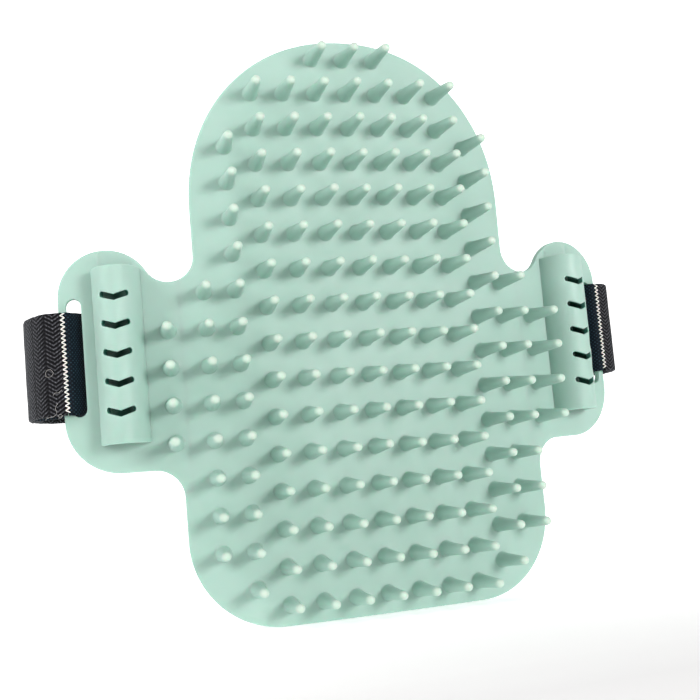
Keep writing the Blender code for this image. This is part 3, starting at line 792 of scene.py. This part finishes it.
class Nodes:
    """Short calls for building the node tree of a material or of the world."""

    def __init__(self, owner):
        self.owner = owner
        owner.use_nodes = True
        self.tree = owner.node_tree

    def add(self, kind, **values):
        node = self.tree.nodes.new(kind)
        for key, value in values.items():
            setattr(node, key, value)
        return node

    def put(self, value, socket):
        """Links an output to a socket, or sets the socket to a plain value."""
        if isinstance(value, bpy.types.NodeSocket):
            self.tree.links.new(value, socket)
        else:
            socket.default_value = value

    def fill(self, node, sockets):
        for name, value in sockets.items():
            self.put(value, node.inputs[name])

    def shade(self, sockets, shader="Principled BSDF"):
        """Fills the shader's sockets; returns the finished material or world."""
        self.fill(self.tree.nodes[shader], sockets)
        return self.owner

    def math(self, operation, *values):
        node = self.add("ShaderNodeMath", operation=operation)
        for value, socket in zip(values, node.inputs):
            self.put(value, socket)
        return node.outputs[0]

    def times(self, a, b):
        return self.math("MULTIPLY", a, b)

    def scaled(self, value, factor, offset):
        return self.math("MULTIPLY_ADD", value, factor, offset)

    def noise(self, scale, detail=2.0):
        node = self.add("ShaderNodeTexNoise")
        place = self.add("ShaderNodeTexCoord").outputs["Object"]
        self.fill(node, {"Vector": place, "Scale": scale, "Detail": detail})
        return node.outputs["Fac"]

    def ramp(self, value, low, high):
        node = self.add("ShaderNodeMapRange")
        self.fill(node, {"Value": value, "From Min": low, "From Max": high})
        return node.outputs["Result"]

    def patches(self, scale, low=0.3, high=0.7, detail=2.0):
        return self.ramp(self.noise(scale, detail), low, high)

    def mix(self, share, a, b):
        node = self.add("ShaderNodeMix", data_type="RGBA")
        self.fill(node, {"Factor": share, "A": a, "B": b})
        return node.outputs["Result"]

    def bump(self, height, distance, strength):
        node = self.add("ShaderNodeBump")
        self.fill(node, {"Height": height, "Distance": distance, "Strength": strength})
        return node.outputs["Normal"]

    def attribute(self, name, output):
        return self.add("ShaderNodeAttribute", attribute_name=name).outputs[output]

    def separate(self, vector):
        node = self.add("ShaderNodeSeparateXYZ")
        self.put(vector, node.inputs[0])
        return node.outputs


def colour(red, green, blue):
    """Linear colour of an 8-bit screen colour."""
    def linear(value):
        value /= 255
        return value / 12.92 if value <= 0.04045 else ((value + 0.055) / 1.055) ** 2.4
    return (linear(red), linear(green), linear(blue), 1.0)


def silicone_material():
    """Translucent silicone with a fine grain, a painted highlight on the pin tips and painted shade in the
    ducts.
    """
    nodes = Nodes(bpy.data.materials.new("mint_silicone_soft"))
    # painted highlight: the top of each pin is mixed towards a pale cream
    tip = nodes.ramp(nodes.attribute("pin_reach", "Fac"), 0.84, 1.0)
    base = nodes.mix(nodes.patches(45, detail=3.0), colour(152, 184, 172), colour(160, 190, 179))
    base = nodes.mix(nodes.times(tip, 0.55), base, colour(206, 212, 199))
    # painted shade: a deep green in the arches' ducts and slots and on the sheet under them
    base = nodes.mix(nodes.attribute("duct_painted_shade", "Fac"), base, colour(44, 98, 84))
    waves = nodes.add("ShaderNodeBump")
    grain = nodes.bump(nodes.noise(2600), 0.02 * MM, 0.5)
    nodes.fill(waves, {"Height": nodes.noise(70), "Distance": 0.4 * MM, "Strength": 0.25, "Normal": grain})
    return nodes.shade({
        "Base Color": base,
        "Subsurface Weight": 0.5,
        "Subsurface Radius": (0.4, 1.0, 0.75),
        "Subsurface Scale": 2.4 * MM,
        "Specular IOR Level": 0.45,
        "Roughness": nodes.scaled(nodes.patches(160, 0.2, 0.8), 0.12, 0.46),
        "Normal": waves.outputs["Normal"]})


def webbing_material():
    """Herringbone webbing: slanted ribs whose slant turns over at every column along the band."""
    column = 2.35 * MM
    rib_slant = 0.68
    strand_pitch = 0.78 * MM
    nodes = Nodes(bpy.data.materials.new("herringbone_webbing"))
    run, up, _ = nodes.separate(nodes.attribute("strap", "Vector"))
    fold = nodes.math("PINGPONG", run, column)
    phase = nodes.math("ADD", nodes.times(up, 1 / WEAVE_PITCH), nodes.times(fold, rib_slant / WEAVE_PITCH))
    phase = nodes.math("ADD", phase, nodes.times(nodes.noise(900, 1.0), 0.3))
    ridge = nodes.scaled(nodes.math("SINE", nodes.times(phase, 2 * pi)), 0.5, 0.5)
    groove = nodes.ramp(fold, 0.22 * column, 0.04 * column)
    fibre = nodes.noise(5200, 3.0)
    strand = nodes.math("SINE", nodes.scaled(run, 2 * pi / strand_pitch, nodes.noise(700, 1.0)))
    # painted highlight: the rib crests are mixed towards pale grey, broken up by fibres and dashes, and left
    # out in the channels between columns
    painted_crest_highlight = nodes.times(nodes.ramp(ridge, 0.5, 1.0), nodes.scaled(groove, -0.85, 1.0))
    for share in (nodes.ramp(fibre, 0.30, 0.62), nodes.scaled(strand, 0.3, 0.7),
                  nodes.scaled(nodes.patches(1300, 0.35, 0.65), 0.55, 0.5)):
        painted_crest_highlight = nodes.times(painted_crest_highlight, share)
    height = ridge
    for relief, depth in ((groove, -0.55), (fibre, 0.5), (strand, 0.16)):
        height = nodes.scaled(relief, depth, height)
    base = nodes.mix(nodes.patches(140), colour(9, 10, 12), colour(14, 14, 17))
    return nodes.shade({
        "Base Color": nodes.mix(painted_crest_highlight, base, colour(116, 118, 124)),
        "Roughness": 0.6,
        "Specular IOR Level": 0.06,
        "Sheen Weight": 0.08,
        "Sheen Roughness": 0.35,
        "Sheen Tint": (0.75, 0.87, 1.0, 1.0),
        "Normal": nodes.bump(height, 0.16 * MM, 0.9)})


def tape_material():
    """Blue-black tape in a fine diamond twill."""
    nodes = Nodes(bpy.data.materials.new("twill_tape"))
    run, up, _ = nodes.separate(nodes.attribute("strap", "Vector"))
    phases = [nodes.scaled(run, lean, up) for lean in (1, -1)]
    diagonals = [nodes.math("SINE", nodes.times(phase, 2 * pi / WEAVE_PITCH)) for phase in phases]
    twill = nodes.scaled(nodes.math("ADD", *diagonals), 0.25, 0.5)
    fibre = nodes.noise(4200, 3.0)
    lit = nodes.times(nodes.ramp(twill, 0.55, 0.95), nodes.ramp(fibre, 0.3, 0.6))
    base = nodes.mix(nodes.patches(160), colour(5, 12, 19), colour(8, 17, 25))
    return nodes.shade({
        "Base Color": nodes.mix(lit, base, colour(42, 64, 76)),
        "Roughness": 0.62,
        "Specular IOR Level": 0.08,
        "Normal": nodes.bump(nodes.scaled(fibre, 0.6, twill), 0.06 * MM, 0.8)})


def thread_material():
    nodes = Nodes(bpy.data.materials.new("polyester_thread"))
    return nodes.shade({
        "Base Color": nodes.mix(nodes.patches(1500), colour(222, 220, 212), colour(246, 245, 240)),
        "Roughness": 0.55,
        "Subsurface Weight": 0.1,
        "Subsurface Scale": 0.3 * MM,
        "Normal": nodes.bump(nodes.noise(6000, 1.0), 0.05 * MM, 0.6)})


def lint_material():
    nodes = Nodes(bpy.data.materials.new("grey_lint"))
    base = nodes.mix(nodes.noise(900), colour(120, 120, 118), colour(196, 195, 190))
    return nodes.shade({"Base Color": base, "Roughness": 0.8})


def patch_material(name, dark, light, roughness):
    nodes = Nodes(bpy.data.materials.new(name))
    return nodes.shade({
        "Base Color": nodes.mix(nodes.patches(2400), colour(*dark), colour(*light)),
        "Roughness": roughness,
        "Normal": nodes.bump(nodes.noise(3800), 0.08 * MM, 0.7)})


SILICONE = silicone_material()
WEBBING = webbing_material()
TAPE = tape_material()
THREAD = thread_material()
LINT = lint_material()
HOOKS = patch_material("hook_nylon", (24, 25, 28), (40, 41, 45), 0.45)
LOOPS = patch_material("loop_pile_nylon", (30, 31, 34), (52, 53, 57), 0.9)


# ---- strap paths in plan, right side ----

def plan_arc(centre, radius, start, end, spacing=PLAN_SPACING):
    steps = max(2, ceil(abs(end - start) * radius / spacing))
    return arc(centre, radius, start, end, steps)


def rim_middle():
    middle = (SLOT_INNER_U + SLOT_WIDTH + WING_EDGE_U) / 2
    place = bent(middle, 0.0, -SHEET_THICKNESS / 2)
    return Vector((place.x, place.y)), bend_angle(middle)


def rim_point(angle, radius):
    """Point on the ring round the rim; angle 0 is outward, 90 degrees is the front crest."""
    middle, tilt = rim_middle()
    return middle + radius * unit(tilt - angle)


def ring_path(start, end):
    middle, tilt = rim_middle()
    return plan_arc(middle, RING_RADIUS, tilt - start, tilt - end, RING_SPACING)


def leave_path():
    """The band's way off the ring and round towards the back of the hand."""
    _, tilt = rim_middle()
    heading = tilt + pi / 2 - LEAVE_ANGLE
    start = rim_point(LEAVE_ANGLE, RING_RADIUS) + LEAVE_RUN * unit(heading)
    centre = start + TURN_RADIUS * unit(heading + pi / 2)
    return plan_arc(centre, TURN_RADIUS, heading - pi / 2, TURN_HEADING - pi / 2)


def bulge_middle():
    return leave_path()[-1] + BULGE_RADIUS * unit(TURN_HEADING + pi / 2)


def shoulder_middle():
    return bulge_middle() + (BULGE_RADIUS - SHOULDER_RADIUS) * unit(SEW_END)


def closure_y():
    return shoulder_middle().y + SHOULDER_RADIUS


def closure_stack():
    return STRAP_THICKNESS + 2 * PATCH_THICKNESS + 3 * GAP


def curve_between(start, leaving, arriving, end, steps):
    """Inner points of a cubic curve with two control points."""
    return [(1 - t) ** 3 * start + 3 * t * (1 - t) ** 2 * leaving + 3 * t * t * (1 - t) * arriving
            + t ** 3 * end for t in shares(steps)[1:-1]]


def band_path(end_x, offset):
    """The webbing's middle line from the rim seam to its end, which lies offset further from the pad."""
    points = ring_path(SEAM_ANGLE - GAP / RING_RADIUS / 2, LEAVE_ANGLE)
    points += leave_path()
    points += plan_arc(bulge_middle(), BULGE_RADIUS, TURN_HEADING - pi / 2, SEW_END)[1:]
    points += plan_arc(shoulder_middle(), SHOULDER_RADIUS, SEW_END, pi / 2)[1:]
    start = points[-1]
    end = Vector((start.x * LEVEL_SHARE, start.y + offset))
    reach = Vector(((start.x - end.x) * BAND_CURVE_REACH, 0.0))
    points += curve_between(start, start - reach, end + reach, end, BAND_CURVE_STEPS)
    steps = ceil((end.x - end_x) / LEVEL_SPACING)
    return points + [end.lerp(Vector((end_x, end.y)), share) for share in shares(steps)]


def tape_path():
    """The tape's middle line from the rim seam through the slot to where it is sewn to the webbing."""
    _, tilt = rim_middle()
    points = ring_path(SEAM_ANGLE + GAP / RING_RADIUS / 2, TAPE_LEAVE_ANGLE)
    heading = tilt - TAPE_LEAVE_ANGLE - pi / 2
    rim_end = points[-1]
    through = rim_end + TAPE_RUN * unit(heading)
    points += [rim_end.lerp(through, share) for share in shares(TAPE_RUN_STEPS)[1:-1]]
    side_on = heading + pi / 2
    middle = through - TAPE_TURN_RADIUS * unit(side_on)
    points += plan_arc(middle, TAPE_TURN_RADIUS, side_on, side_on - TAPE_TURN)
    start = points[-1]
    sew_start = SEW_ANGLE - SEW_HALF_ANGLE
    run = plan_arc(bulge_middle(), BULGE_RADIUS - STRAP_THICKNESS - 2 * GAP, sew_start, SEW_END)
    reach = (run[0] - start).length * TAPE_CURVE_REACH
    leaving = start + unit(heading - TAPE_TURN) * reach
    arriving = run[0] - unit(sew_start + pi / 2) * reach
    points += curve_between(start, leaving, arriving, run[0], TAPE_CURVE_STEPS)
    return points + run


def strap_height(side, x):
    """Middle height of the strap: level at the rim and across the hand, sloping between."""
    far = shoulder_middle().x * LEVEL_SHARE
    near = rim_middle()[0].x
    share = smooth((abs(x) - far) / (near - far))
    rim_height = LEFT_STRAP_Z if side < 0 else RIGHT_STRAP_Z
    return CLOSURE_Z + (rim_height - CLOSURE_Z) * share


# ---- strap pieces ----

def ribbon_section():
    """Cross-section of the webbing, anticlockwise: (out of the band, up its width)."""
    half = STRAP_THICKNESS / 2
    flat = STRAP_WIDTH / 2 - half
    outer = [(half, flat * (2 * share - 1)) for share in shares(SECTION_STEPS)]
    top = [(half * cos(pi * share), flat + half * sin(pi * share))
           for share in shares(SECTION_END_STEPS)[1:-1]]
    return outer + top + [(-out, -up) for out, up in outer + top]


def ribbon(name, side, path, material):
    """A band standing on edge along a plan path; stores strap coordinates for its weave."""
    bm = bmesh.new()
    layer = bm.verts.layers.float_vector.new("strap")
    section = ribbon_section()
    last = len(path) - 1
    rows = []
    run = 0.0
    for index, here in enumerate(path):
        before = path[max(0, index - 1)]
        way = (path[min(last, index + 1)] - before).normalized()
        out = Vector((way.y, -way.x))
        run += (here - before).length
        middle = strap_height(side, max(0.0, here.x))
        pinch = BAND_END_PINCH if index in (0, last) else 1.0
        row = []
        for depth, up in section:
            ripple = waves(run * RIPPLE_WAVES, up * RIPPLE_WAVES, 7.7 * side, RIPPLE)
            edge = smooth((abs(up) - STRAP_WIDTH / 2 + EDGE_BAND) / EDGE_BAND)
            wander = waves(run * EDGE_WAVES, 3.3 * side, copysign(1.0, up), EDGE_WANDER)
            flat = here + out * (depth * pinch + ripple)
            vert = bm.verts.new((side * flat.x, flat.y, middle + up + edge * wander))
            vert[layer] = (run, up, depth)
            row.append(vert)
        rows.append(row)
    bridge(bm, rows)
    bm.faces.new(rows[0])
    bm.faces.new(rows[-1][::-1])
    return piece_from(name, bm, material)


def tube(bm, points, radius, sides):
    """A round thread along a line, with domed ends."""
    rings = []
    last = len(points) - 1
    turns = circle(Vector((0.0, 0.0)), 1.0, sides)
    normal = (points[1] - points[0]).normalized().orthogonal().normalized()
    for index, point in enumerate(points):
        way = (points[min(last, index + 1)] - points[max(0, index - 1)]).normalized()
        normal = (normal - way * normal.dot(way)).normalized()
        across = way.cross(normal)
        size = radius * (THREAD_END if index in (0, last) else 1.0)
        rings.append([bm.verts.new(point + size * (turn.x * normal + turn.y * across)) for turn in turns])
    bridge(bm, rings)
    for ring, end, inner in ((rings[0], points[0], points[1]), (rings[-1], points[-1], points[-2])):
        fan(bm, ring, bm.verts.new(end + (end - inner).normalized() * radius * THREAD_DOME))


def threads(name, lines, radius, material, sides=6):
    """One piece of many separate threads."""
    bm = bmesh.new()
    for points in lines:
        tube(bm, points, radius, sides)
    return piece_from(name, bm, material)


def zigzag_stitches(side, place):
    """Stitches of a close zigzag seam up the strap; place gives the plan point at a reach and a lift."""
    middle = strap_height(side, place(0.0, 0.0).x)
    count = int((STRAP_WIDTH - STITCH_MARGIN) / STITCH_PITCH)
    slant = STITCH_PITCH / 4
    lines = []
    for index in range(count):
        z = middle + (index - (count - 1) / 2) * STITCH_PITCH
        z += random.uniform(-STITCH_WANDER, STITCH_WANDER)
        for way, shift, depth in ((1, 0.0, 0.0), (-1, STITCH_PITCH / 2, STITCH_DEPTH)):
            line = []
            for share in (-1.0, -0.8, -0.3, 0.3, 0.8, 1.0):
                lift = -STITCH_DEPTH if abs(share) == 1.0 else STITCH_LIFT
                spot = place(share * STITCH_REACH, lift - depth)
                line.append(Vector((side * spot.x, spot.y, z + shift - way * slant * share)))
            lines.append(line)
    return lines


def make_strap_side(side, name):
    body = f"{name}_strap"
    fit(ribbon(f"{name}_tape", side, tape_path(), TAPE), "slot_tape", body, f"{name}_slot_tape")

    def rim_place(reach, lift):
        radius = RING_RADIUS + STRAP_THICKNESS / 2 + lift
        return rim_point(SEAM_ANGLE - RIM_SEAM_SHIFT + reach / radius, radius)

    def rear_place(reach, lift):
        radius = BULGE_RADIUS + STRAP_THICKNESS / 2 + lift
        return bulge_middle() + radius * unit(SEW_ANGLE + reach / radius)

    for seam, place in (("rim", rim_place), ("rear", rear_place)):
        stitches = threads(f"{name}_{seam}_stitches", zigzag_stitches(side, place), STITCH_RADIUS, THREAD)
        fit(stitches, "white_thread", body, f"{name}_{seam}_seam")


def make_bands():
    left = ribbon("left_webbing", -1, band_path(-LEFT_BAND_END_X, 0.0), WEBBING)
    fit(left, "ribbed_webbing", "left_strap", "left_strap_band")
    right = ribbon("right_webbing", 1, band_path(TAIL_END_X, closure_stack()), WEBBING)
    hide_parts("right_strap_band", "strap_tail_band")
    hinge_y = closure_y() + closure_stack()
    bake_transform(right)


def running_stitches(middle_x, y, outward):
    """Stitches of a lockstitch seam run round a patch just inside its edge."""
    half_length = PATCH_HALF_LENGTH - PATCH_SEAM_INSET
    half_width = PATCH_WIDTH / 2 - PATCH_SEAM_INSET
    corners = [Vector((middle_x + a * half_length, y, CLOSURE_Z + b * half_width))
               for a, b in ((-1, -1), (-1, 1), (1, 1), (1, -1), (-1, -1))]
    lines = []
    for start, end in zip(corners, corners[1:]):
        count = round((end - start).length / RUNNING_PITCH)
        step = (end - start) / count
        inset = step.normalized() * RUNNING_GAP
        for index in range(count):
            first = start + step * index + inset
            last = start + step * (index + 1) - inset
            lines.append([first.lerp(last, share) + Vector((0.0, outward * lift, 0.0))
                          for share, lift in RUNNING_SHAPE])
    return lines


def patch_ground(name, middle_x, y, material):
    """The woven ground of a patch: a thin slab with rounded edges and corners."""
    bm = bmesh.new()
    corners = [Vector((middle_x + a * PATCH_HALF_LENGTH, CLOSURE_Z + b * PATCH_WIDTH / 2))
               for a, b in ((-1, -1), (1, -1), (1, 1), (-1, 1))]
    outline = []
    for before, corner, after in neighbours(corners):
        outline += rounded_corner(before, corner, after, PATCH_CORNER)
    rows = []
    for inset, depth in ((PATCH_EDGE, -0.5), (0.0, -0.28), (0.0, 0.28), (PATCH_EDGE, 0.5)):
        flats = [point + normal * inset for point, normal in zip(outline, left_normals(outline))]
        rows.append([bm.verts.new((flat.x, y + depth * PATCH_GROUND, flat.y)) for flat in flats])
    bridge(bm, rows)
    bm.faces.new(rows[0])
    bm.faces.new(rows[-1][::-1])
    return piece_from(name, bm, material)


def loop_pile(y):
    """Small arched loops, scattered over the loop patch."""
    lines = []
    for _ in range(LOOP_COUNT):
        x = LOOP_PATCH_X + random.uniform(-1, 1) * (PATCH_HALF_LENGTH - PILE_MARGIN)
        z = CLOSURE_Z + random.uniform(-1, 1) * (PATCH_WIDTH / 2 - PILE_MARGIN)
        turn = random.uniform(0, pi)
        reach = random.uniform(0.25, 0.5) * MM
        height = random.uniform(0.30, 0.48) * MM
        way = Vector((cos(turn), 0.0, sin(turn)))
        lines.append([Vector((x, y + height * rise, z)) + way * reach * share for share, rise in LOOP_SHAPE])
    return lines


def hook_teeth(y):
    """Rows of moulded hooks that lean in turn to the left and to the right."""
    lines = []
    for across in shares(HOOK_COLUMNS):
        for row, up in enumerate(shares(HOOK_ROWS)):
            x = HOOK_PATCH_X + (across - 0.5) * HOOKED_LENGTH
            z = CLOSURE_Z + (up - 0.5) * HOOKED_WIDTH
            lean = 1 if row % 2 else -1
            lines.append([Vector((x + lean * reach, y - rise, z)) for reach, rise in HOOK_SHAPE])
    return lines


def make_closure():
    """The loop patch on the left band and the hook patch on the free end, each sewn round its edge."""
    patches = (("loop", LOOP_PATCH_X, closure_y(), 1, "left_strap", LOOPS),
               ("hook", HOOK_PATCH_X, closure_y() + closure_stack(), -1, "tail", HOOKS))
    root_y = {}
    for kind, middle_x, band_y, outward, body, material in patches:
        face = outward * STRAP_THICKNESS / 2
        ground_y = band_y + face + outward * (PATCH_GROUND / 2 + PATCH_GAP)
        root_y[kind] = ground_y + outward * PATCH_GROUND * PILE_ROOT
        ground = patch_ground(f"{kind}_ground", middle_x, ground_y, material)
        fit(ground, f"{kind}_tape", body, f"{kind}_patch")
    pile = threads("loop_pile", loop_pile(root_y["loop"]), LOOP_RADIUS, LOOPS, 3)
    fit(pile, "loop_tape", "left_strap")
    teeth = threads("hook_teeth", hook_teeth(root_y["hook"]), HOOK_RADIUS, HOOKS, 4)
    fit(teeth, "hook_tape", "tail")
    for kind, middle_x, band_y, outward, body, material in patches:
        face = outward * STRAP_THICKNESS / 2
        lines = running_stitches(middle_x, band_y - face, -outward)
        stitches = threads(f"{kind}_patch_stitches", lines, STITCH_RADIUS, THREAD)
        fit(stitches, "white_thread", body, f"{kind}_patch_seam")


def spline(controls, steps):
    """A smooth line through its control points, without the last one."""
    ends = [controls[0]] + controls + [controls[-1]]
    line = []
    for before, start, end, after in zip(ends, ends[1:], ends[2:], ends[3:]):
        leaving = start + (end - before) / 6
        arriving = end - (after - start) / 6
        line += [start] + curve_between(start, leaving, arriving, end, steps)
    return line


def make_lint():
    """Four loose thread ends that cling to the left webbing beside its rim seam."""
    path = band_path(-LEFT_BAND_END_X, 0.0)

    def on_band(distance, z):
        run = 0.0
        for before, after in zip(path, path[1:]):
            length = (after - before).length
            if run + length >= distance:
                way = (after - before).normalized()
                spot = before.lerp(after, (distance - run) / length) + Vector((way.y, -way.x)) * LINT_LIFT
                return Vector((-spot.x, spot.y, z))
            run += length

    # Distance along the band and height, in millimetres.
    curls = [
        [(4.8, -9.6), (4.9, -8.7), (4.2, -8.0), (3.3, -8.2), (2.9, -9.0), (3.4, -9.8), (4.4, -9.9),
         (5.1, -9.4)],
        [(1.0, -13.6), (1.8, -14.2), (2.8, -14.3), (3.3, -15.0)],
        [(2.2, -17.0), (2.9, -18.2), (2.6, -19.6), (3.6, -20.4), (5.0, -20.6), (6.0, -21.2)],
        [(1.2, -20.4), (1.9, -20.7), (2.3, -20.3), (1.8, -19.9), (1.3, -20.3), (1.7, -20.9), (2.4, -20.8)]]
    lines = [spline([on_band(run * MM, z * MM) for run, z in curl], LINT_STEPS) for curl in curls]
    fit(threads("loose_threads", lines, LINT_RADIUS, LINT), "white_thread", "left_strap")


# ---- camera, light and stage ----

def place_in_scene(name, data, place, angles):
    made = bpy.data.objects.new(name, data)
    made.location = place
    made.rotation_euler = angles
    bpy.context.scene.collection.objects.link(made)
    return made


def make_camera():
    data = bpy.data.cameras.new("camera")
    data.lens = CAMERA_LENS
    data.sensor_width = CAMERA_SENSOR
    angles = Euler([radians(angle) for angle in CAMERA_ANGLES])
    bpy.context.scene.camera = place_in_scene("camera", data, CAMERA_PLACE, angles)


def area_light(name, place, target, width, height, power):
    data = bpy.data.lights.new(name, "AREA")
    data.shape = "RECTANGLE"
    data.size = width
    data.size_y = height
    data.energy = power
    data.color = LAMP_TINT
    way = Vector(target) - Vector(place)
    place_in_scene(name, data, place, way.to_track_quat("-Z", "Y").to_euler())


def make_stage():
    """A pale floor that curves up into a wall far behind the pad, and glows white away from it."""
    half_width = 5.0
    floor_end = 2.2
    wall_top = 4.0
    curve_radius = 0.8
    bm = bmesh.new()
    curve = arc(Vector((floor_end, curve_radius)), curve_radius, -pi / 2, 0.0, 16)
    line = [Vector((-floor_end - curve_radius, 0.0))] + curve + [Vector((floor_end + curve_radius, wall_top))]
    rows = [[bm.verts.new((x, point.x, FLOOR_Z + point.y)) for point in line]
            for x in (-half_width, half_width)]
    for a, b, c, d in zip(rows[0], rows[1], rows[1][1:], rows[0][1:]):
        bm.faces.new((a, b, c, d))
    nodes = Nodes(bpy.data.materials.new("studio_paper"))
    place = nodes.add("ShaderNodeNewGeometry").outputs["Position"]
    distance = nodes.add("ShaderNodeVectorMath", operation="LENGTH")
    nodes.put(place, distance.inputs[0])
    behind = nodes.ramp(nodes.separate(place)["Y"], -0.12, 0.10)
    far = nodes.ramp(distance.outputs["Value"], 0.5, 1.1)
    paper = nodes.shade({
        "Base Color": (0.9, 0.9, 0.9, 1.0),
        "Roughness": 0.9,
        "Emission Color": WHITE,
        "Emission Strength": nodes.times(nodes.math("MAXIMUM", behind, far), 0.75)})
    piece_from("studio_floor", bm, paper)


def make_lights():
    bpy.context.scene.view_settings.view_transform = "Standard"
    nodes = Nodes(bpy.data.worlds.new("studio"))
    camera_ray = nodes.add("ShaderNodeLightPath").outputs["Is Camera Ray"]
    strength = nodes.scaled(camera_ray, 1.0 - WORLD_LIGHT, WORLD_LIGHT)
    bpy.context.scene.world = nodes.shade({"Color": WHITE, "Strength": strength}, "Background")
    area_light("key_right", (0.36, -0.93, 0.16), (0, 0, 0), 0.26, 0.26, 7.2)
    area_light("strip_left", (-0.48, -0.14, 0.26), (-0.07, 0, 0), 0.12, 0.4, 1.75)


make_camera()
make_stage()
make_lights()
make_pad()
for strap_side, side_name in ((-1, "left"), (1, "right")):
    make_arch(strap_side, side_name)
    make_strap_side(strap_side, side_name)
make_bands()
make_closure()
make_lint()
